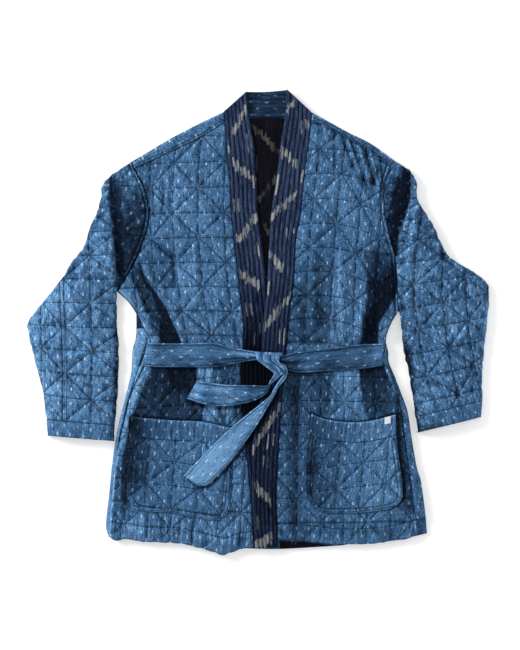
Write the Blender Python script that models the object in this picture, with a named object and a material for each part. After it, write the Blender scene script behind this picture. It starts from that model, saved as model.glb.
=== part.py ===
"""Quilted indigo hanten jacket with a kasuri collar band, laid flat, its belt tied in front.

X runs to the wearer's left, Y up to the neck, Z up off the table. The tables are in millimetres
from the middle of the jacket; the model is in metres. Right and left are the wearer's.
"""

import bpy
import bmesh
import numpy as np
from mathutils import Vector
from mathutils.geometry import delaunay_2d_cdt

MM = 0.001
GAP = 0.3  # between pieces at a seam, and under what lies on a panel
BACK = 5.5  # thickness of the back, over which the fronts lie
WALL = 6.0  # quilted cloth in a stitched groove
LOFT = 3.0  # how far a puff of wadding stands over its stitching
PITCH = 41.5  # between parallel rows of quilting
ROLL = 12.5  # height of the back where it turns round to the front
SLEEVE_LOW, SLEEVE_HIGH = 9.0, 21.0  # sleeve's edge and middle
SLEEVE_SLOT = (5.2, 8.8)  # the flattened inside of a sleeve
VALLEY = 9.5  # sleeve cloth between the armhole and its pleat
BAND = 5.0  # collar band in a groove
RIB = 1.6  # its corded channels
CHANNELS = 5
LAP = 12.9  # underside of the upper collar where it lies on the lower one
POCKET = 4.2
BELT = 2.4
KNOT = 15.0
LINING = 1.0
STEP = 13.0  # spacing of points along an edge

SWELL = 4.0  # rise of a front away from its seams
AIR = 3.4  # most air between a front and the back

LEVEL_FRONT = BACK + GAP

# Seams and edges, from the neck down. Columns: x, y
SHOULDER_EDGE_RIGHT = ((-58, 347), (-94, 330), (-144, 304), (-181, 282), (-210, 265))
SHOULDER_SEAM_RIGHT = ((-56, 330), (-95, 306), (-144, 282), (-181, 265), (-206, 254))
ARMHOLE_RIGHT = (
    (-210, 265), (-206, 254), (-200, 238), (-192, 218), (-185, 192), (-182, 175),
    (-191, 148), (-203, 114), (-212, 95), (-224, 70), (-234, 51),
)
UNDERARM_RIGHT = ((-234, 51), (-215, 33), (-202, 14), (-189, -10), (-178, -31))
SIDE_SEAM_RIGHT = (
    (-178, -31), (-186, -46), (-197, -72), (-212, -120), (-224, -168), (-233, -211),
    (-239, -252), (-243, -294), (-246, -326), (-247, -355),
)
BACK_SIDE_RIGHT = (
    (-202, 14), (-202, -10), (-203, -27), (-208, -46), (-210, -79), (-215, -104),
    (-223, -135), (-234, -181), (-242, -234), (-247, -285), (-251, -318), (-252, -340),
    (-247, -356),
)
HEM_RIGHT = (
    (-247, -355), (-236, -361), (-215, -359), (-190, -364), (-135, -366), (-97, -374),
    (-76, -380), (-59, -385), (-42, -380), (-22, -374), (-8, -372),
)
SHOULDER_EDGE_LEFT = ((87, 347), (118, 330), (147, 314), (185, 295), (224, 267))
SHOULDER_SEAM_LEFT = ((87, 334), (118, 322), (151, 304), (185, 285), (219, 260))
ARMHOLE_LEFT = (
    (224, 267), (219, 260), (213, 244), (208, 228), (207, 208), (208, 180), (213, 157),
    (218, 134), (225, 112), (229, 70), (231, 18),
)
UNDERARM_LEFT = ((231, 18), (220, 0), (212, -20), (210, -33))
SIDE_SEAM_LEFT = (
    (210, -33), (211, -49), (212, -66), (221, -92), (229, -122), (236, -148), (242, -194),
    (249, -244), (255, -294), (260, -326), (264, -352),
)
BACK_SIDE_LEFT = (
    (210, -33), (214, -49), (215, -66), (225, -90), (236, -119), (246, -148), (252, -186),
    (260, -234), (268, -263), (273, -297), (276, -322), (278, -349),
)
HEM_LEFT = (
    (32, -360), (55, -360), (89, -363), (119, -367), (156, -368), (195, -366), (237, -360),
    (264, -352), (278, -349),
)
HEM_BACK = (
    (-247, -354), (-215, -355), (-135, -362), (-72, -370), (-31, -373), (-12, -374),
    (22, -375), (55, -374), (89, -372), (134, -369), (156, -366), (195, -364),
    (237, -358), (278, -349),
)
NECK_BACK = ((-58, 347), (-16, 338), (44, 338), (87, 347))
NECK_TOP = ((-20, 381), (6, 381), (46, 385))

# Collar bands, from the neck to the hem. Columns: free edge x, y, seam edge x, y
COLLAR_RIGHT = (
    (-20, 381, -58, 347), (-18, 360, -56, 330), (-16, 339, -55, 312), (-12, 315, -54, 296),
    (-7, 278, -52, 271), (-4, 231, -48, 230), (-3, 190, -46, 189), (3, 142, -42, 142),
    (10, 83, -35, 79), (13, 42, -31, 42), (18, 4, -26, 4), (18, -34, -26, -34),
    (14, -79, -30, -79), (16, -145, -27, -145), (19, -206, -22, -206),
    (22, -290, -13, -290), (24, -372, -8, -372),
)
COLLAR_LEFT = (
    (46, 385, 87, 347), (45, 363, 87, 334), (44, 341, 86, 319), (37, 299, 83, 294),
    (32, 256, 77, 254), (26, 215, 73, 215), (21, 181, 70, 180), (18, 136, 62, 136),
    (15, 79, 59, 79), (13, 46, 54, 45), (8, 4, 49, 4), (5, -34, 46, -34),
    (5, -102, 39, -102), (-3, -153, 36, -153), (-10, -203, 33, -203),
    (-11, -279, 29, -279), (-6, -372, 32, -371),
)

# Sleeves, from the shoulder to the cuff. Columns: outer edge x, y, inner edge x, y
SLEEVE_RIGHT = (
    (-242, 246, -210, 265), (-259, 227, -200, 238), (-261, 210, -192, 218),
    (-267, 185, -185, 192), (-274, 168, -182, 175), (-282, 152, -191, 148),
    (-288, 128, -203, 114), (-306, 104, -212, 95), (-323, 77, -224, 70),
    (-354, 38, -234, 51), (-381, 2, -233, 4), (-382, -15, -231, -30),
    (-371, -61, -230, -76), (-359, -109, -233, -128), (-352, -155, -236, -170),
    (-349, -188, -238, -197),
)
SLEEVE_LEFT = (
    (249, 254, 224, 267), (261, 233, 213, 244), (264, 203, 207, 208), (280, 175, 208, 180),
    (292, 155, 213, 157), (300, 136, 218, 134), (319, 106, 225, 112), (355, 84, 227, 89),
    (378, 65, 229, 70), (382, 50, 230, 45), (381, 21, 231, 18), (376, -24, 235, -15),
    (372, -62, 238, -45), (370, -100, 248, -88), (371, -138, 255, -138),
    (368, -157, 262, -183),
)
# Where a sleeve doubles over its own cloth below the shoulder. Columns: x, y
PLEAT_RIGHT = (
    (-244, 250), (-246, 225), (-245, 215), (-248, 203), (-246, 192), (-244, 165),
    (-238, 102), (-234, 52),
)
PLEAT_LEFT = (
    (249, 254), (249, 220), (250, 201), (246, 185), (239, 167), (232, 145), (226, 112),
)

POCKET_RIGHT = (
    (-214, -154), (-190, -158), (-138, -162), (-95, -164), (-46, -174), (-44, -229),
    (-46, -275), (-49, -307), (-59, -322), (-74, -326), (-113, -320), (-143, -314),
    (-194, -310), (-211, -297), (-217, -275), (-214, -211),
)
POCKET_LEFT = (
    (87, -151), (111, -160), (153, -165), (187, -162), (226, -152), (227, -196),
    (234, -246), (237, -280), (232, -297), (217, -307), (187, -312), (145, -315),
    (99, -312), (84, -297), (78, -272), (80, -213),
)
LABEL = (207.5, 217.5, -167.5, -156.0)  # x from and to, y from and to

# Belt, from its outer end to the knot or tip. Columns: one edge x, y, other edge x, y
BELT_RIGHT = (
    (-183, -34, -193, -72), (-166, -35, -169, -74), (-122, -35, -122, -74),
    (-72, -35, -72, -74), (-51, -41, -51, -70), (-28, -45, -28, -66), (-8, -48, -8, -63),
    (3, -50, 5, -60),
)
BELT_LEFT = (
    (36, -56, 38, -76), (51, -52, 52, -80), (68, -49, 68, -83), (118, -43, 118, -80), (167, -37, 167, -77),
    (195, -36, 197, -73), (207, -35, 203, -72),
)
TAIL_UPPER = (
    (21, -101, 19, -108), (11, -105, 12, -118), (-6, -104, -4, -128), (-29, -104, -24, -134),
    (-54, -103, -54, -138), (-79, -100, -84, -136), (-102, -97, -118, -126),
)
TAIL_LOWER = (
    (24, -111.5, 31, -108), (19, -121, 28, -117), (6, -132, 16, -138), (-14, -148, -4, -171), (-41, -170, -34, -213),
    (-72, -199, -60, -244), (-100, -228, -84, -267), (-124, -253, -99, -268),
)
KNOT_EDGE = (
    (-6, -48), (15, -46), (41, -50), (47, -62), (49, -77), (47, -90), (39, -104),
    (32, -113), (23, -115), (17, -106), (20, -94), (24, -85), (14, -76), (-4, -64),
)
LOOPS = (
    # name, x and y of its upper end, x and y of its lower end
    ("belt_loop_right", -186.5, -31, -198.5, -70),
    ("belt_loop_left", 209.3, -41, 209.9, -62),
)

# Folds. Columns: where, ridge from x, y to x, y, half width, height
FOLDS_RIGHT = (
    ("over the side pleat", -186, 89, -130, -31, 14, 9),
    ("side pleat", -203, 79, -152, -31, 13, -4),
    ("underarm roll", -222, 44, -183, -23, 12, 5),
    ("hollow under the belt", -140, -84, -153, -146, 24, -4),
    ("roll beside the hollow", -82, -80, -74, -150, 17, 6),
    ("side roll", -193, -86, -216, -170, 10, 6),
    ("hem flare", -80, -330, -60, -376, 20, 6),
    ("beside the pocket", -226, -194, -232, -318, 8, -3),
)
FOLDS_LEFT = (
    ("over the side pleat", 177, 61, 159, -31, 13, 7),
    ("side pleat", 200, 28, 182, -31, 10, -4),
    ("underarm roll", 219, 2, 204, -28, 9, 5),
    ("roll under the belt", 146, -84, 144, -150, 17, 6),
    ("hollow under the belt", 183, -84, 203, -144, 16, -4),
    ("side roll", 216, -98, 230, -160, 9, 5),
    ("beside the pocket", 241, -170, 250, -313, 8, -3),
    ("front pull", 111, 43, 119, -33, 14, 3),
    ("shoulder pull, upper", 194, 268, 174, 221, 9, 3),
    ("shoulder pull, lower", 203, 244, 192, 195, 8, 3),
)
FOLDS_SLEEVE_RIGHT = (
    ("over the elbow", -322, 60, -262, 20, 16, 4),
    ("elbow crease", -370, -18, -300, 4, 13, -4),
    ("forearm", -345, -70, -262, -40, 14, 3),
)
FOLDS_SLEEVE_LEFT = (
    ("upper arm", 258, 140, 300, 92, 15, 4),
    ("elbow crease", 262, 62, 340, 44, 13, -4),
    ("forearm", 272, -40, 350, -22, 14, 3),
)

# Quilting: x and y of a corner where eight rows meet, and the turn of the rows in degrees
QUILT_FRONT_RIGHT = (-140.0, 264.0, 0.0)
QUILT_FRONT_LEFT = (139.0, -131.0, 2.0)
QUILT_SLEEVE_RIGHT = (-279.0, 32.0, -14.0)
QUILT_SLEEVE_LEFT = (304.0, 101.0, 14.0)


def smooth(rows, step=STEP):
    """Points about every step along a soft curve through the rows"""
    p = np.array(rows, float)
    q = np.vstack([2 * p[0] - p[1], p, 2 * p[-1] - p[-2]])
    out = []
    for a, b, c, d in zip(q, q[1:], q[2:], q[3:]):
        n = max(1, round(float(np.linalg.norm((c - b)[:2])) / step))
        t = (np.arange(n) / n)[:, None]
        out.append(
            0.5 * (2 * b + (c - a) * t + (2 * a - 5 * b + 4 * c - d) * t**2
                   + (3 * b - a - 3 * c + d) * t**3)
        )
    return np.vstack(out + [p[-1:]])


def outline(*edges):
    """Joins edges, each with how far it rounds off, into one loop that runs anticlockwise"""
    points, rims = [], []
    for edge, rim in edges:
        for p in edge:
            if points and np.hypot(*(p - points[-1])) < 1.2:
                rims[-1] = min(rims[-1], rim)
            else:
                points.append(p)
                rims.append(rim)
    if np.hypot(*(points[0] - points[-1])) < 1.2:
        rims[0] = min(rims[0], rims.pop())
        points.pop()
    loop, rims = np.array(points), np.array(rims, float)
    x, y = loop.T
    if (x * np.roll(y, -1) - y * np.roll(x, -1)).sum() < 0:
        loop, rims = loop[::-1], rims[::-1]
    return loop, rims


def inset(loop, by):
    """The loop moved inwards, each point by its own amount"""
    before, after = loop - np.roll(loop, 1, 0), np.roll(loop, -1, 0) - loop
    n1, n2 = (
        np.stack([-e[:, 1], e[:, 0]], 1) / np.linalg.norm(e, axis=1)[:, None]
        for e in (before, after)
    )
    lean = np.clip(1 + (n1 * n2).sum(1), 0.5, 2)[:, None]
    return loop + (n1 + n2) / lean * np.broadcast_to(by, len(loop))[:, None]


def off_line(points, line):
    """Distance of each point to a line, and which side of it: over 0 is to its left"""
    p = np.atleast_2d(points)[:, None, :]
    a, b = line[None, :-1], line[None, 1:]
    along = np.clip(((p - a) * (b - a)).sum(2) / ((b - a) ** 2).sum(2), 0, 1)
    apart = p - (a + along[..., None] * (b - a))
    distance = np.linalg.norm(apart, axis=2)
    near = distance.argmin(1)
    rows = np.arange(len(near))
    d, w = (b - a)[0, near], (p - a)[rows, near]
    return distance[rows, near], np.sign(d[:, 0] * w[:, 1] - d[:, 1] * w[:, 0])


def depth(points, loop):
    """How far inside a loop each point lies, under 0 outside"""
    p = np.atleast_2d(points)
    closed = np.vstack([loop, loop[:1]])
    distance, _ = off_line(p, closed)
    x, y = p[:, :1], p[:, 1:]
    (ax, ay), (bx, by) = closed[:-1].T, closed[1:].T
    crosses = (ay > y) != (by > y)
    at = ax + (y - ay) * (bx - ax) / np.where(by == ay, 1, by - ay)
    inside = (crosses & (x < at)).sum(1) % 2 == 1
    return np.where(inside, distance, -distance)


def folded(points, folds):
    """Height of the folds at each point"""
    z = np.zeros(len(points))
    for _, x0, y0, x1, y1, half, height in folds:
        d, _ = off_line(points, np.array([(x0, y0), (x1, y1)], float))
        z += height * 0.5 * (1 + np.cos(np.pi * np.minimum(1, d / half)))
    return z


def on_cloth(points, quilt):
    x, y, turn = quilt
    c, s = np.cos(np.radians(turn)), np.sin(np.radians(turn))
    p = (np.atleast_2d(points) - (x, y)) / PITCH
    return np.stack([p[:, 0] * c + p[:, 1] * s, p[:, 1] * c - p[:, 0] * s], 1)


def off_cloth(cells, quilt):
    x, y, turn = quilt
    c, s = np.cos(np.radians(turn)), np.sin(np.radians(turn))
    q = np.atleast_2d(cells) * PITCH
    return np.stack([q[:, 0] * c - q[:, 1] * s, q[:, 1] * c + q[:, 0] * s], 1) + (x, y)


def puff(points, quilt):
    """0 on a row of quilting, up to 1 in the middle of a puff"""
    q = on_cloth(points, quilt)
    cell = np.floor(q)
    u, v = (q - cell).T
    even = cell.sum(1) % 2 == 0
    slant = np.where(even, np.abs(u - v), np.abs(u + v - 1)) / 2**0.5
    d = np.min([u, 1 - u, v, 1 - v, slant], axis=0) / 0.293
    return 1 - (1 - np.minimum(1, d)) ** 2


def quilting(loop, quilt, clear, holes=()):
    """Rows of quilting inside a loop and clear of the holes, and points on the puffs"""
    def free(p):
        ok = depth(p, loop) > clear
        for hole in holes:
            ok &= depth(p, hole) < -clear
        return ok

    cells = on_cloth(loop, quilt)
    (i0, j0), (i1, j1) = np.floor(cells.min(0)).astype(int), np.ceil(cells.max(0)).astype(int)
    points, index, rows = [], {}, []

    def corner(p):
        key = tuple(np.round(p, 1))
        if key not in index:
            index[key] = len(points)
            points.append(p)
        return index[key]

    steps = np.linspace(0, 1, 25)[:, None]
    inner = np.array([(0.56, 0.22, 0.22), (0.22, 0.56, 0.22), (0.22, 0.22, 0.56)])
    tops = []
    for i in range(i0, i1):
        for j in range(j0, j1):
            a, b, c, d = (i, j), (i + 1, j), (i + 1, j + 1), (i, j + 1)
            even = (i + j) % 2 == 0
            for ends in ((a, b), (a, d), (a, c) if even else (b, d)):
                line = off_cloth(np.array(ends, float), quilt)
                spots = line[0] + (line[1] - line[0]) * steps
                ok = np.flatnonzero(free(spots))
                if len(ok) < 5 or len(ok) != ok[-1] - ok[0] + 1:
                    continue
                rows.append((corner(spots[ok[0]]), corner(spots[ok[-1]])))
            for three in ((a, b, c), (a, c, d)) if even else ((a, b, d), (b, c, d)):
                spots = off_cloth(inner @ np.array(three, float), quilt)
                tops.extend(spots[free(spots)])
    return points, rows, tops


def fold_points(loop, folds, clear):
    """Points along each fold and at its two feet"""
    found = []
    for _, x0, y0, x1, y1, half, _ in folds:
        a, b = np.array((x0, y0), float), np.array((x1, y1), float)
        n = max(2, round(np.linalg.norm(b - a) / 11) + 1)
        side = np.array([-(b - a)[1], (b - a)[0]]) / np.linalg.norm(b - a) * half
        for across in (-1, -0.6, 0, 0.6, 1):
            for t in np.linspace(0, 1, n):
                found.append(a + (b - a) * t + side * across)
    found = np.array(found)
    return list(found[depth(found, loop) > clear])


def thinned(points, kept, apart):
    """The points that stand clear of those kept and of each other"""
    kept, out = list(kept), []
    for p in points:
        if not kept or np.min(np.linalg.norm(np.array(kept) - p, axis=1)) > apart:
            kept.append(p)
            out.append(p)
    return out


def triangles(points, edges):
    found = delaunay_2d_cdt([Vector(p) for p in points], edges, [], 1, 1e-4)
    spots = np.array([tuple(v) for v in found[0]])
    place = {}
    for new, old in enumerate(found[3]):
        for k in old:
            place[k] = new
    return spots, found[2], place


def material(name, colour, roughness):
    made = bpy.data.materials.new(name)
    made.use_nodes = True
    shader = made.node_tree.nodes["Principled BSDF"]
    shader.inputs["Base Color"].default_value = (*colour, 1)
    shader.inputs["Roughness"].default_value = roughness
    shader.inputs["Metallic"].default_value = 0.0
    return made


def finish(name, bm, mat, where):
    bmesh.ops.recalc_face_normals(bm, faces=bm.faces)
    mesh = bpy.data.meshes.new(name)
    bm.to_mesh(mesh)
    bm.free()
    mesh.materials.append(mat)
    mesh.shade_smooth()
    mesh.set_sharp_from_angle(angle=np.radians(50))
    made = bpy.data.objects.new(name, mesh)
    where.objects.link(made)
    return made


def guide(made):
    made.hide_render = True
    made.display_type = "WIRE"
    return made


def boolean(target, tool, operation):
    cut = target.modifiers.new(tool.name, "BOOLEAN")
    cut.object, cut.operation = tool, operation


def panel(name, mat, where, loop, rims, top, bottom, rows=((), (), ()), low=0.35, bed=None,
          hollow=()):
    """A sheet of padded cloth: top and bottom are heights at points, rows its quilting and
    puffs, bed the triangles that its underside copies, low how far its foot is drawn in,
    hollow more points of its underside"""
    foot, crown = inset(loop, rims * low), inset(loop, rims)
    n = len(loop)
    ring = [(i, (i + 1) % n) for i in range(n)]
    corners, lines, tops = rows
    start = list(crown) + list(corners)
    edges = ring + [(a + n, b + n) for a, b in lines if a != b]
    start += thinned(tops, start, 4.0)
    upper, faces_up, at_up = triangles(start, edges)
    if bed:
        lower, faces_low, at_low = triangles(*bed)
    else:
        lower, faces_low, at_low = triangles(list(foot) + list(hollow), ring)
    bm = bmesh.new()

    def verts(points, z):
        return [bm.verts.new((x * MM, y * MM, h * MM)) for (x, y), h in zip(points, z)]

    z_up, z_low = top(upper), bottom(lower)
    up, down = verts(upper, z_up), verts(lower, z_low)
    for face in faces_up:
        bm.faces.new([up[k] for k in face])
    for face in faces_low:
        bm.faces.new([down[k] for k in face[::-1]])
    rim_up, rim_low = [at_up[k] for k in range(n)], [at_low[k] for k in range(n)]
    middle = verts(loop, 0.55 * z_up[rim_up] + 0.45 * z_low[rim_low])
    for i, j in ring:
        bm.faces.new([down[rim_low[i]], down[rim_low[j]], middle[j], middle[i]])
        bm.faces.new([middle[i], middle[j], up[rim_up[j]], up[rim_up[i]]])
    return finish(name, bm, mat, where)


def band(name, mat, where, sections, top, bottom, above, below):
    """A long strip: sections are pairs of edge points, above and below the places across it"""
    a, b = sections[:, None, :2], sections[:, None, 2:]
    above, below = np.array(above)[None, :, None], np.array(below)[None, :, None]
    over, under = a + (b - a) * above, a + (b - a) * below
    z_over, z_under = top(over, above[..., 0]), bottom(under, below[..., 0])
    bm = bmesh.new()

    def grid(points, z):
        return [
            [bm.verts.new((x * MM, y * MM, h * MM)) for (x, y), h in zip(r, zr)]
            for r, zr in zip(points, z)
        ]

    up, down = grid(over, z_over), grid(under, z_under)
    for sheet in (up, down):
        for r, s in zip(sheet, sheet[1:]):
            for k in range(len(r) - 1):
                bm.faces.new([r[k], r[k + 1], s[k + 1], s[k]])
    for k in (0, -1):
        for r, s, t, w in zip(up, up[1:], down, down[1:]):
            bm.faces.new([r[k], s[k], w[k], t[k]])
        bm.faces.new(up[k] + down[k][::-1])
    return finish(name, bm, mat, where)


for old in list(bpy.data.objects):
    bpy.data.objects.remove(old, do_unlink=True)

hanten = bpy.data.collections.new("hanten")
guides = bpy.data.collections.new("guides")
for made in (hanten, guides):
    bpy.context.scene.collection.children.link(made)

indigo = material("indigo_quilt", (0.075, 0.19, 0.35), 0.9)
kasuri = material("kasuri_band", (0.018, 0.03, 0.075), 0.85)
dark = material("kasuri_lining", (0.006, 0.008, 0.014), 0.9)
sash = material("belt_cloth", (0.095, 0.22, 0.38), 0.85)
tag = material("blank_label", (0.8, 0.79, 0.75), 0.7)

flat = lambda height: (lambda p: np.full(len(p), float(height)))

# Edges that two pieces share
collar = {
    "right": smooth(COLLAR_RIGHT, 22),
    "left": smooth(COLLAR_LEFT, 22),
}
seam_right = smooth([r[2:] for r in COLLAR_RIGHT[1:]])
seam_left = smooth([r[2:] for r in COLLAR_LEFT[1:]])
seam_left = seam_left[seam_left[:, 1] > HEM_LEFT[0][1] + 8]  # the band ends lower than the front
armhole_right, armhole_left = smooth(ARMHOLE_RIGHT, 10), smooth(ARMHOLE_LEFT, 10)

fronts = {
    "right": outline(
        (seam_right, 0), (smooth(HEM_RIGHT)[::-1], 4), (smooth(SIDE_SEAM_RIGHT)[::-1], 0),
        (smooth(UNDERARM_RIGHT)[::-1], 4), (smooth(ARMHOLE_RIGHT[1:], 10)[::-1], 0),
        (smooth(SHOULDER_SEAM_RIGHT)[::-1], 0),
    ),
    "left": outline(
        (seam_left, 0), (smooth(HEM_LEFT[:-1]), 4), (smooth(SIDE_SEAM_LEFT)[::-1], 0),
        (smooth(UNDERARM_LEFT)[::-1], 4), (smooth(ARMHOLE_LEFT[1:], 10)[::-1], 0),
        (smooth(SHOULDER_SEAM_LEFT)[::-1], 0),
    ),
}
pockets = {
    "right": outline((smooth(POCKET_RIGHT + POCKET_RIGHT[:1], 16), 2.2)),
    "left": outline((smooth(POCKET_LEFT + POCKET_LEFT[:1], 16), 2.2)),
}
quilt_of = {"right": QUILT_FRONT_RIGHT, "left": QUILT_FRONT_LEFT}
folds_of = {"right": FOLDS_RIGHT, "left": FOLDS_LEFT}


def belt_clear(points):
    """0 under the belt, 1 well away from it"""
    d, _ = off_line(points, np.array([(-190, -54), (0, -56), (60, -66), (205, -54)], float))
    return np.clip((d - 24) / 12, 0, 1)


def front_rise(side):
    """Folds of a front, and its swell"""
    loop = fronts[side][0]

    def rise(p):
        swell = SWELL * np.sin(np.pi / 2 * np.clip(depth(p, loop) / 55, 0, 1))
        return (swell + folded(p, folds_of[side])) * (0.35 + 0.65 * belt_clear(p))

    return rise


def front_foot(side):
    rise = front_rise(side)
    return lambda p: LEVEL_FRONT + np.clip(rise(p) - 1.5, 0, AIR)


def front_height(side):
    hole, rise = pockets[side][0], front_rise(side)

    def height(p, loft=True):
        z = LEVEL_FRONT + WALL + rise(p)
        if loft:
            away = np.clip(-depth(p, hole) / 6, 0, 1)
            z = z + LOFT * puff(p, quilt_of[side]) * away * belt_clear(p)
        return z

    return height


def pocket_foot(side):
    height = front_height(side)
    return lambda p: height(p, loft=False) + GAP


def pocket_height(side):
    foot = pocket_foot(side)
    loop = pockets[side][0]
    mouth = loop[:, 1].max() - 34  # the gathered band along the opening is plain

    def height(p, loft=True):
        swell = puff(p, quilt_of[side]) * (p[:, 1] < mouth) * np.clip(depth(p, loop) / 6, 0, 1)
        return foot(p) + POCKET + 2.4 * swell

    return height


# Fronts, with a bed under each pocket that the pocket's underside copies
beds = {}
for side in ("right", "left"):
    loop, rims = fronts[side]
    own = inset(loop, GAP / 2)
    hole, hole_rims = pockets[side]
    lo, hi = hole.min(0), hole.max(0)
    grid = [
        np.array((x, y))
        for x in np.arange(lo[0] + 14, hi[0], 26)
        for y in np.arange(lo[1] + 14, hi[1], 26)
    ]
    grid = [p for p in grid if depth(p, hole)[0] > 8]
    ring = [(i, (i + 1) % len(hole)) for i in range(len(hole))]
    bed_points, bed_faces, _ = triangles(list(hole) + grid, ring)
    bed_edges = sorted({tuple(sorted((f[k], f[k - 1]))) for f in bed_faces for k in range(3)})
    beds[side] = (list(bed_points), bed_edges)

    inner = inset(own, rims)
    points, lines, tops = quilting(inner, quilt_of[side], 5.0, [hole])
    tops += [p for p in fold_points(inner, folds_of[side], 5.0) if depth(p, hole)[0] < -5]
    shift = len(points)
    points = points + list(bed_points)
    lines = lines + [(a + shift, b + shift) for a, b in bed_edges]
    lo, hi = own.min(0), own.max(0)
    hollow = [
        np.array((x + 14 * (k % 2), y))
        for k, y in enumerate(np.arange(lo[1] + 12, hi[1], 24))
        for x in np.arange(lo[0] + 10, hi[0], 28)
    ]
    hollow = [p for p in hollow if depth(p, own)[0] > 9]
    panel(
        f"front_{side}", indigo, hanten, own, rims, front_height(side),
        front_foot(side), (points, lines, tops), hollow=hollow,
    )

    points, lines, tops = quilting(inset(hole, hole_rims), quilt_of[side], 4.0)
    panel(
        f"pocket_{side}", indigo, hanten, hole, hole_rims, pocket_height(side),
        pocket_foot(side), (points, lines, tops), low=0, bed=beds[side],
    )

# Back: a flat sheet under the fronts, with the parts that turn round to the front
back_loop, back_rims = outline(
    (smooth(NECK_BACK), 0), (smooth(SHOULDER_EDGE_LEFT), 4), (armhole_left, 0),
    (smooth(UNDERARM_LEFT), 4), (smooth(BACK_SIDE_LEFT), 4), (smooth(HEM_BACK)[::-1], 4),
    (smooth(BACK_SIDE_RIGHT)[::-1], 4), (smooth(UNDERARM_RIGHT[:3])[::-1], 4),
    (armhole_right[::-1], 0), (smooth(SHOULDER_EDGE_RIGHT)[::-1], 4),
)
back_loop = inset(back_loop, GAP / 2)
back = panel(
    "back", indigo, hanten, back_loop, 0 * back_rims, flat(BACK), flat(0),
)
rolls = (
    # name, the seam, the outer edge
    ("shoulder_right", SHOULDER_SEAM_RIGHT, SHOULDER_EDGE_RIGHT),
    ("shoulder_left", SHOULDER_SEAM_LEFT, SHOULDER_EDGE_LEFT),
    ("side_right", UNDERARM_RIGHT[3:] + SIDE_SEAM_RIGHT[1:-4], BACK_SIDE_RIGHT[1:-5]),
    ("side_left", SIDE_SEAM_LEFT[4:-1], BACK_SIDE_LEFT[4:-1]),
)
for name, seam, edge in rolls:
    inner, outer = smooth(seam, 16), smooth(edge, 16)
    loop, rims = outline((inner, 0), (outer[::-1], 3.5))
    loop = inset(loop, np.where(rims > 0, 0.6, 0.35))
    roll = panel(
        "roll_" + name, indigo, guides, loop, rims,
        lambda p, edge=outer: ROLL - 3 + 3 * np.clip(off_line(p, edge)[0] / 8, 0, 1),
        flat(BACK - 2), low=0,
    )
    boolean(back, guide(roll), "UNION")

# Collar bands: the right one lies on the front's edge, the left one laps over it
ribs = np.linspace(0, 1, 2 * CHANNELS + 1)


def ribbed(points, across, foot, thick):
    crest = (np.arange(across.shape[1]) % 2) * RIB
    return foot + thick + crest[None, :] + 0 * points[..., 0]


def drawn_in(sections, by=GAP / 2):
    a, b = sections[:, :2], sections[:, 2:]
    n = (b - a) / np.linalg.norm(b - a, axis=1)[:, None] * by
    return np.hstack([a + n, b - n])


band(
    "collar_right", kasuri, hanten, drawn_in(collar["right"]),
    lambda p, u: ribbed(p, u, LEVEL_FRONT, BAND), lambda p, u: LEVEL_FRONT + 0 * p[..., 0],
    ribs, (0, 1),
)


def lap_foot(points, across):
    """Underside of the left band: up on the right band, down beside it"""
    flat_points = points.reshape(-1, 2)
    lower_edge = collar["right"][:, :2]
    apart, side = off_line(flat_points, lower_edge)
    beside = np.where(side > 0, apart, -apart) if lower_side > 0 else np.where(
        side < 0, apart, -apart
    )
    step = np.clip((4.5 - beside) / 3.5, 0, 1)
    reach = np.clip((110 - flat_points[:, 1]) / 45, 0, 1)
    return (LEVEL_FRONT + (LAP - LEVEL_FRONT) * step * reach).reshape(points.shape[:2])


_, lower_side = off_line(np.array([(60.0, -200.0)]), collar["right"][:, :2])
lower_side = lower_side[0]


def lap_top(points, across):
    reach = np.clip((130 - points[..., 1]) / 90, 0, 1)
    rise = (LAP - LEVEL_FRONT) * reach * (1 - 0.55 * across)
    return ribbed(points, across, LEVEL_FRONT + rise, BAND)


band(
    "collar_left", kasuri, hanten, drawn_in(collar["left"]), lap_top, lap_foot,
    ribs, np.linspace(0, 1, 9),
)

# Neck stand at the back, with its rows of stitching across
neck_loop, neck_rims = outline(
    (smooth(NECK_BACK, 12), 0),
    (smooth(((87, 347), (66, 366), (46, 384)), 12), 3),
    (smooth(((46, 384), (13, 381), (-20, 381)), 12), 3),
    (smooth(((-20, 381), (-39, 364), (-58, 347)), 12), 3),
)
neck_rows = [
    [np.array((x, 338.5 + 7.5 * k + 2.0 * h)) for x in np.linspace(-8, 36, 5)]
    for k in range(1, 6) for h in (0, 1)
]
neck_points = [p for r in neck_rows for p in r]
neck_lines = [
    (5 * i + k, 5 * i + k + 1) for i in range(len(neck_rows)) for k in range(4)
]


def neck_height(p):
    inside = (np.abs(p[:, 0] - 14) < 22.5) & (p[:, 1] > 345)
    crest = np.abs((p[:, 1] - 338.5) % 7.5 - 2.0) < 0.3
    return np.where(inside & crest, BACK, BACK - 1.2)


panel(
    "collar_back", kasuri, hanten, inset(neck_loop, GAP / 2), neck_rims * 0.7, neck_height,
    flat(0), (neck_points, neck_lines, []),
)

# Lining where it shows: in the neck and at the hem
v_right = [(-15.5, 338)] + [p for p in collar["right"][:, :2] if 52 < p[1] < 330]
v_left = [(43.5, 338)] + [p for p in collar["left"][:, :2] if 52 < p[1] < 330]
loop, rims = outline((np.array(v_right), 0), (np.array(v_left)[::-1], 0))
panel(
    "lining_neck", dark, hanten, inset(loop, 1.0), rims, flat(LEVEL_FRONT + LINING),
    flat(LEVEL_FRONT),
)
hem_lining = np.array([
    (36, -362), (55, -362.2), (89, -365), (117, -369), (117, -369.6), (89, -371.2),
    (55, -373), (36, -373.6),
])
loop, rims = outline((hem_lining, 0))
panel(
    "lining_hem", dark, hanten, loop, rims, flat(LEVEL_FRONT + LINING), flat(LEVEL_FRONT),
)

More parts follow.
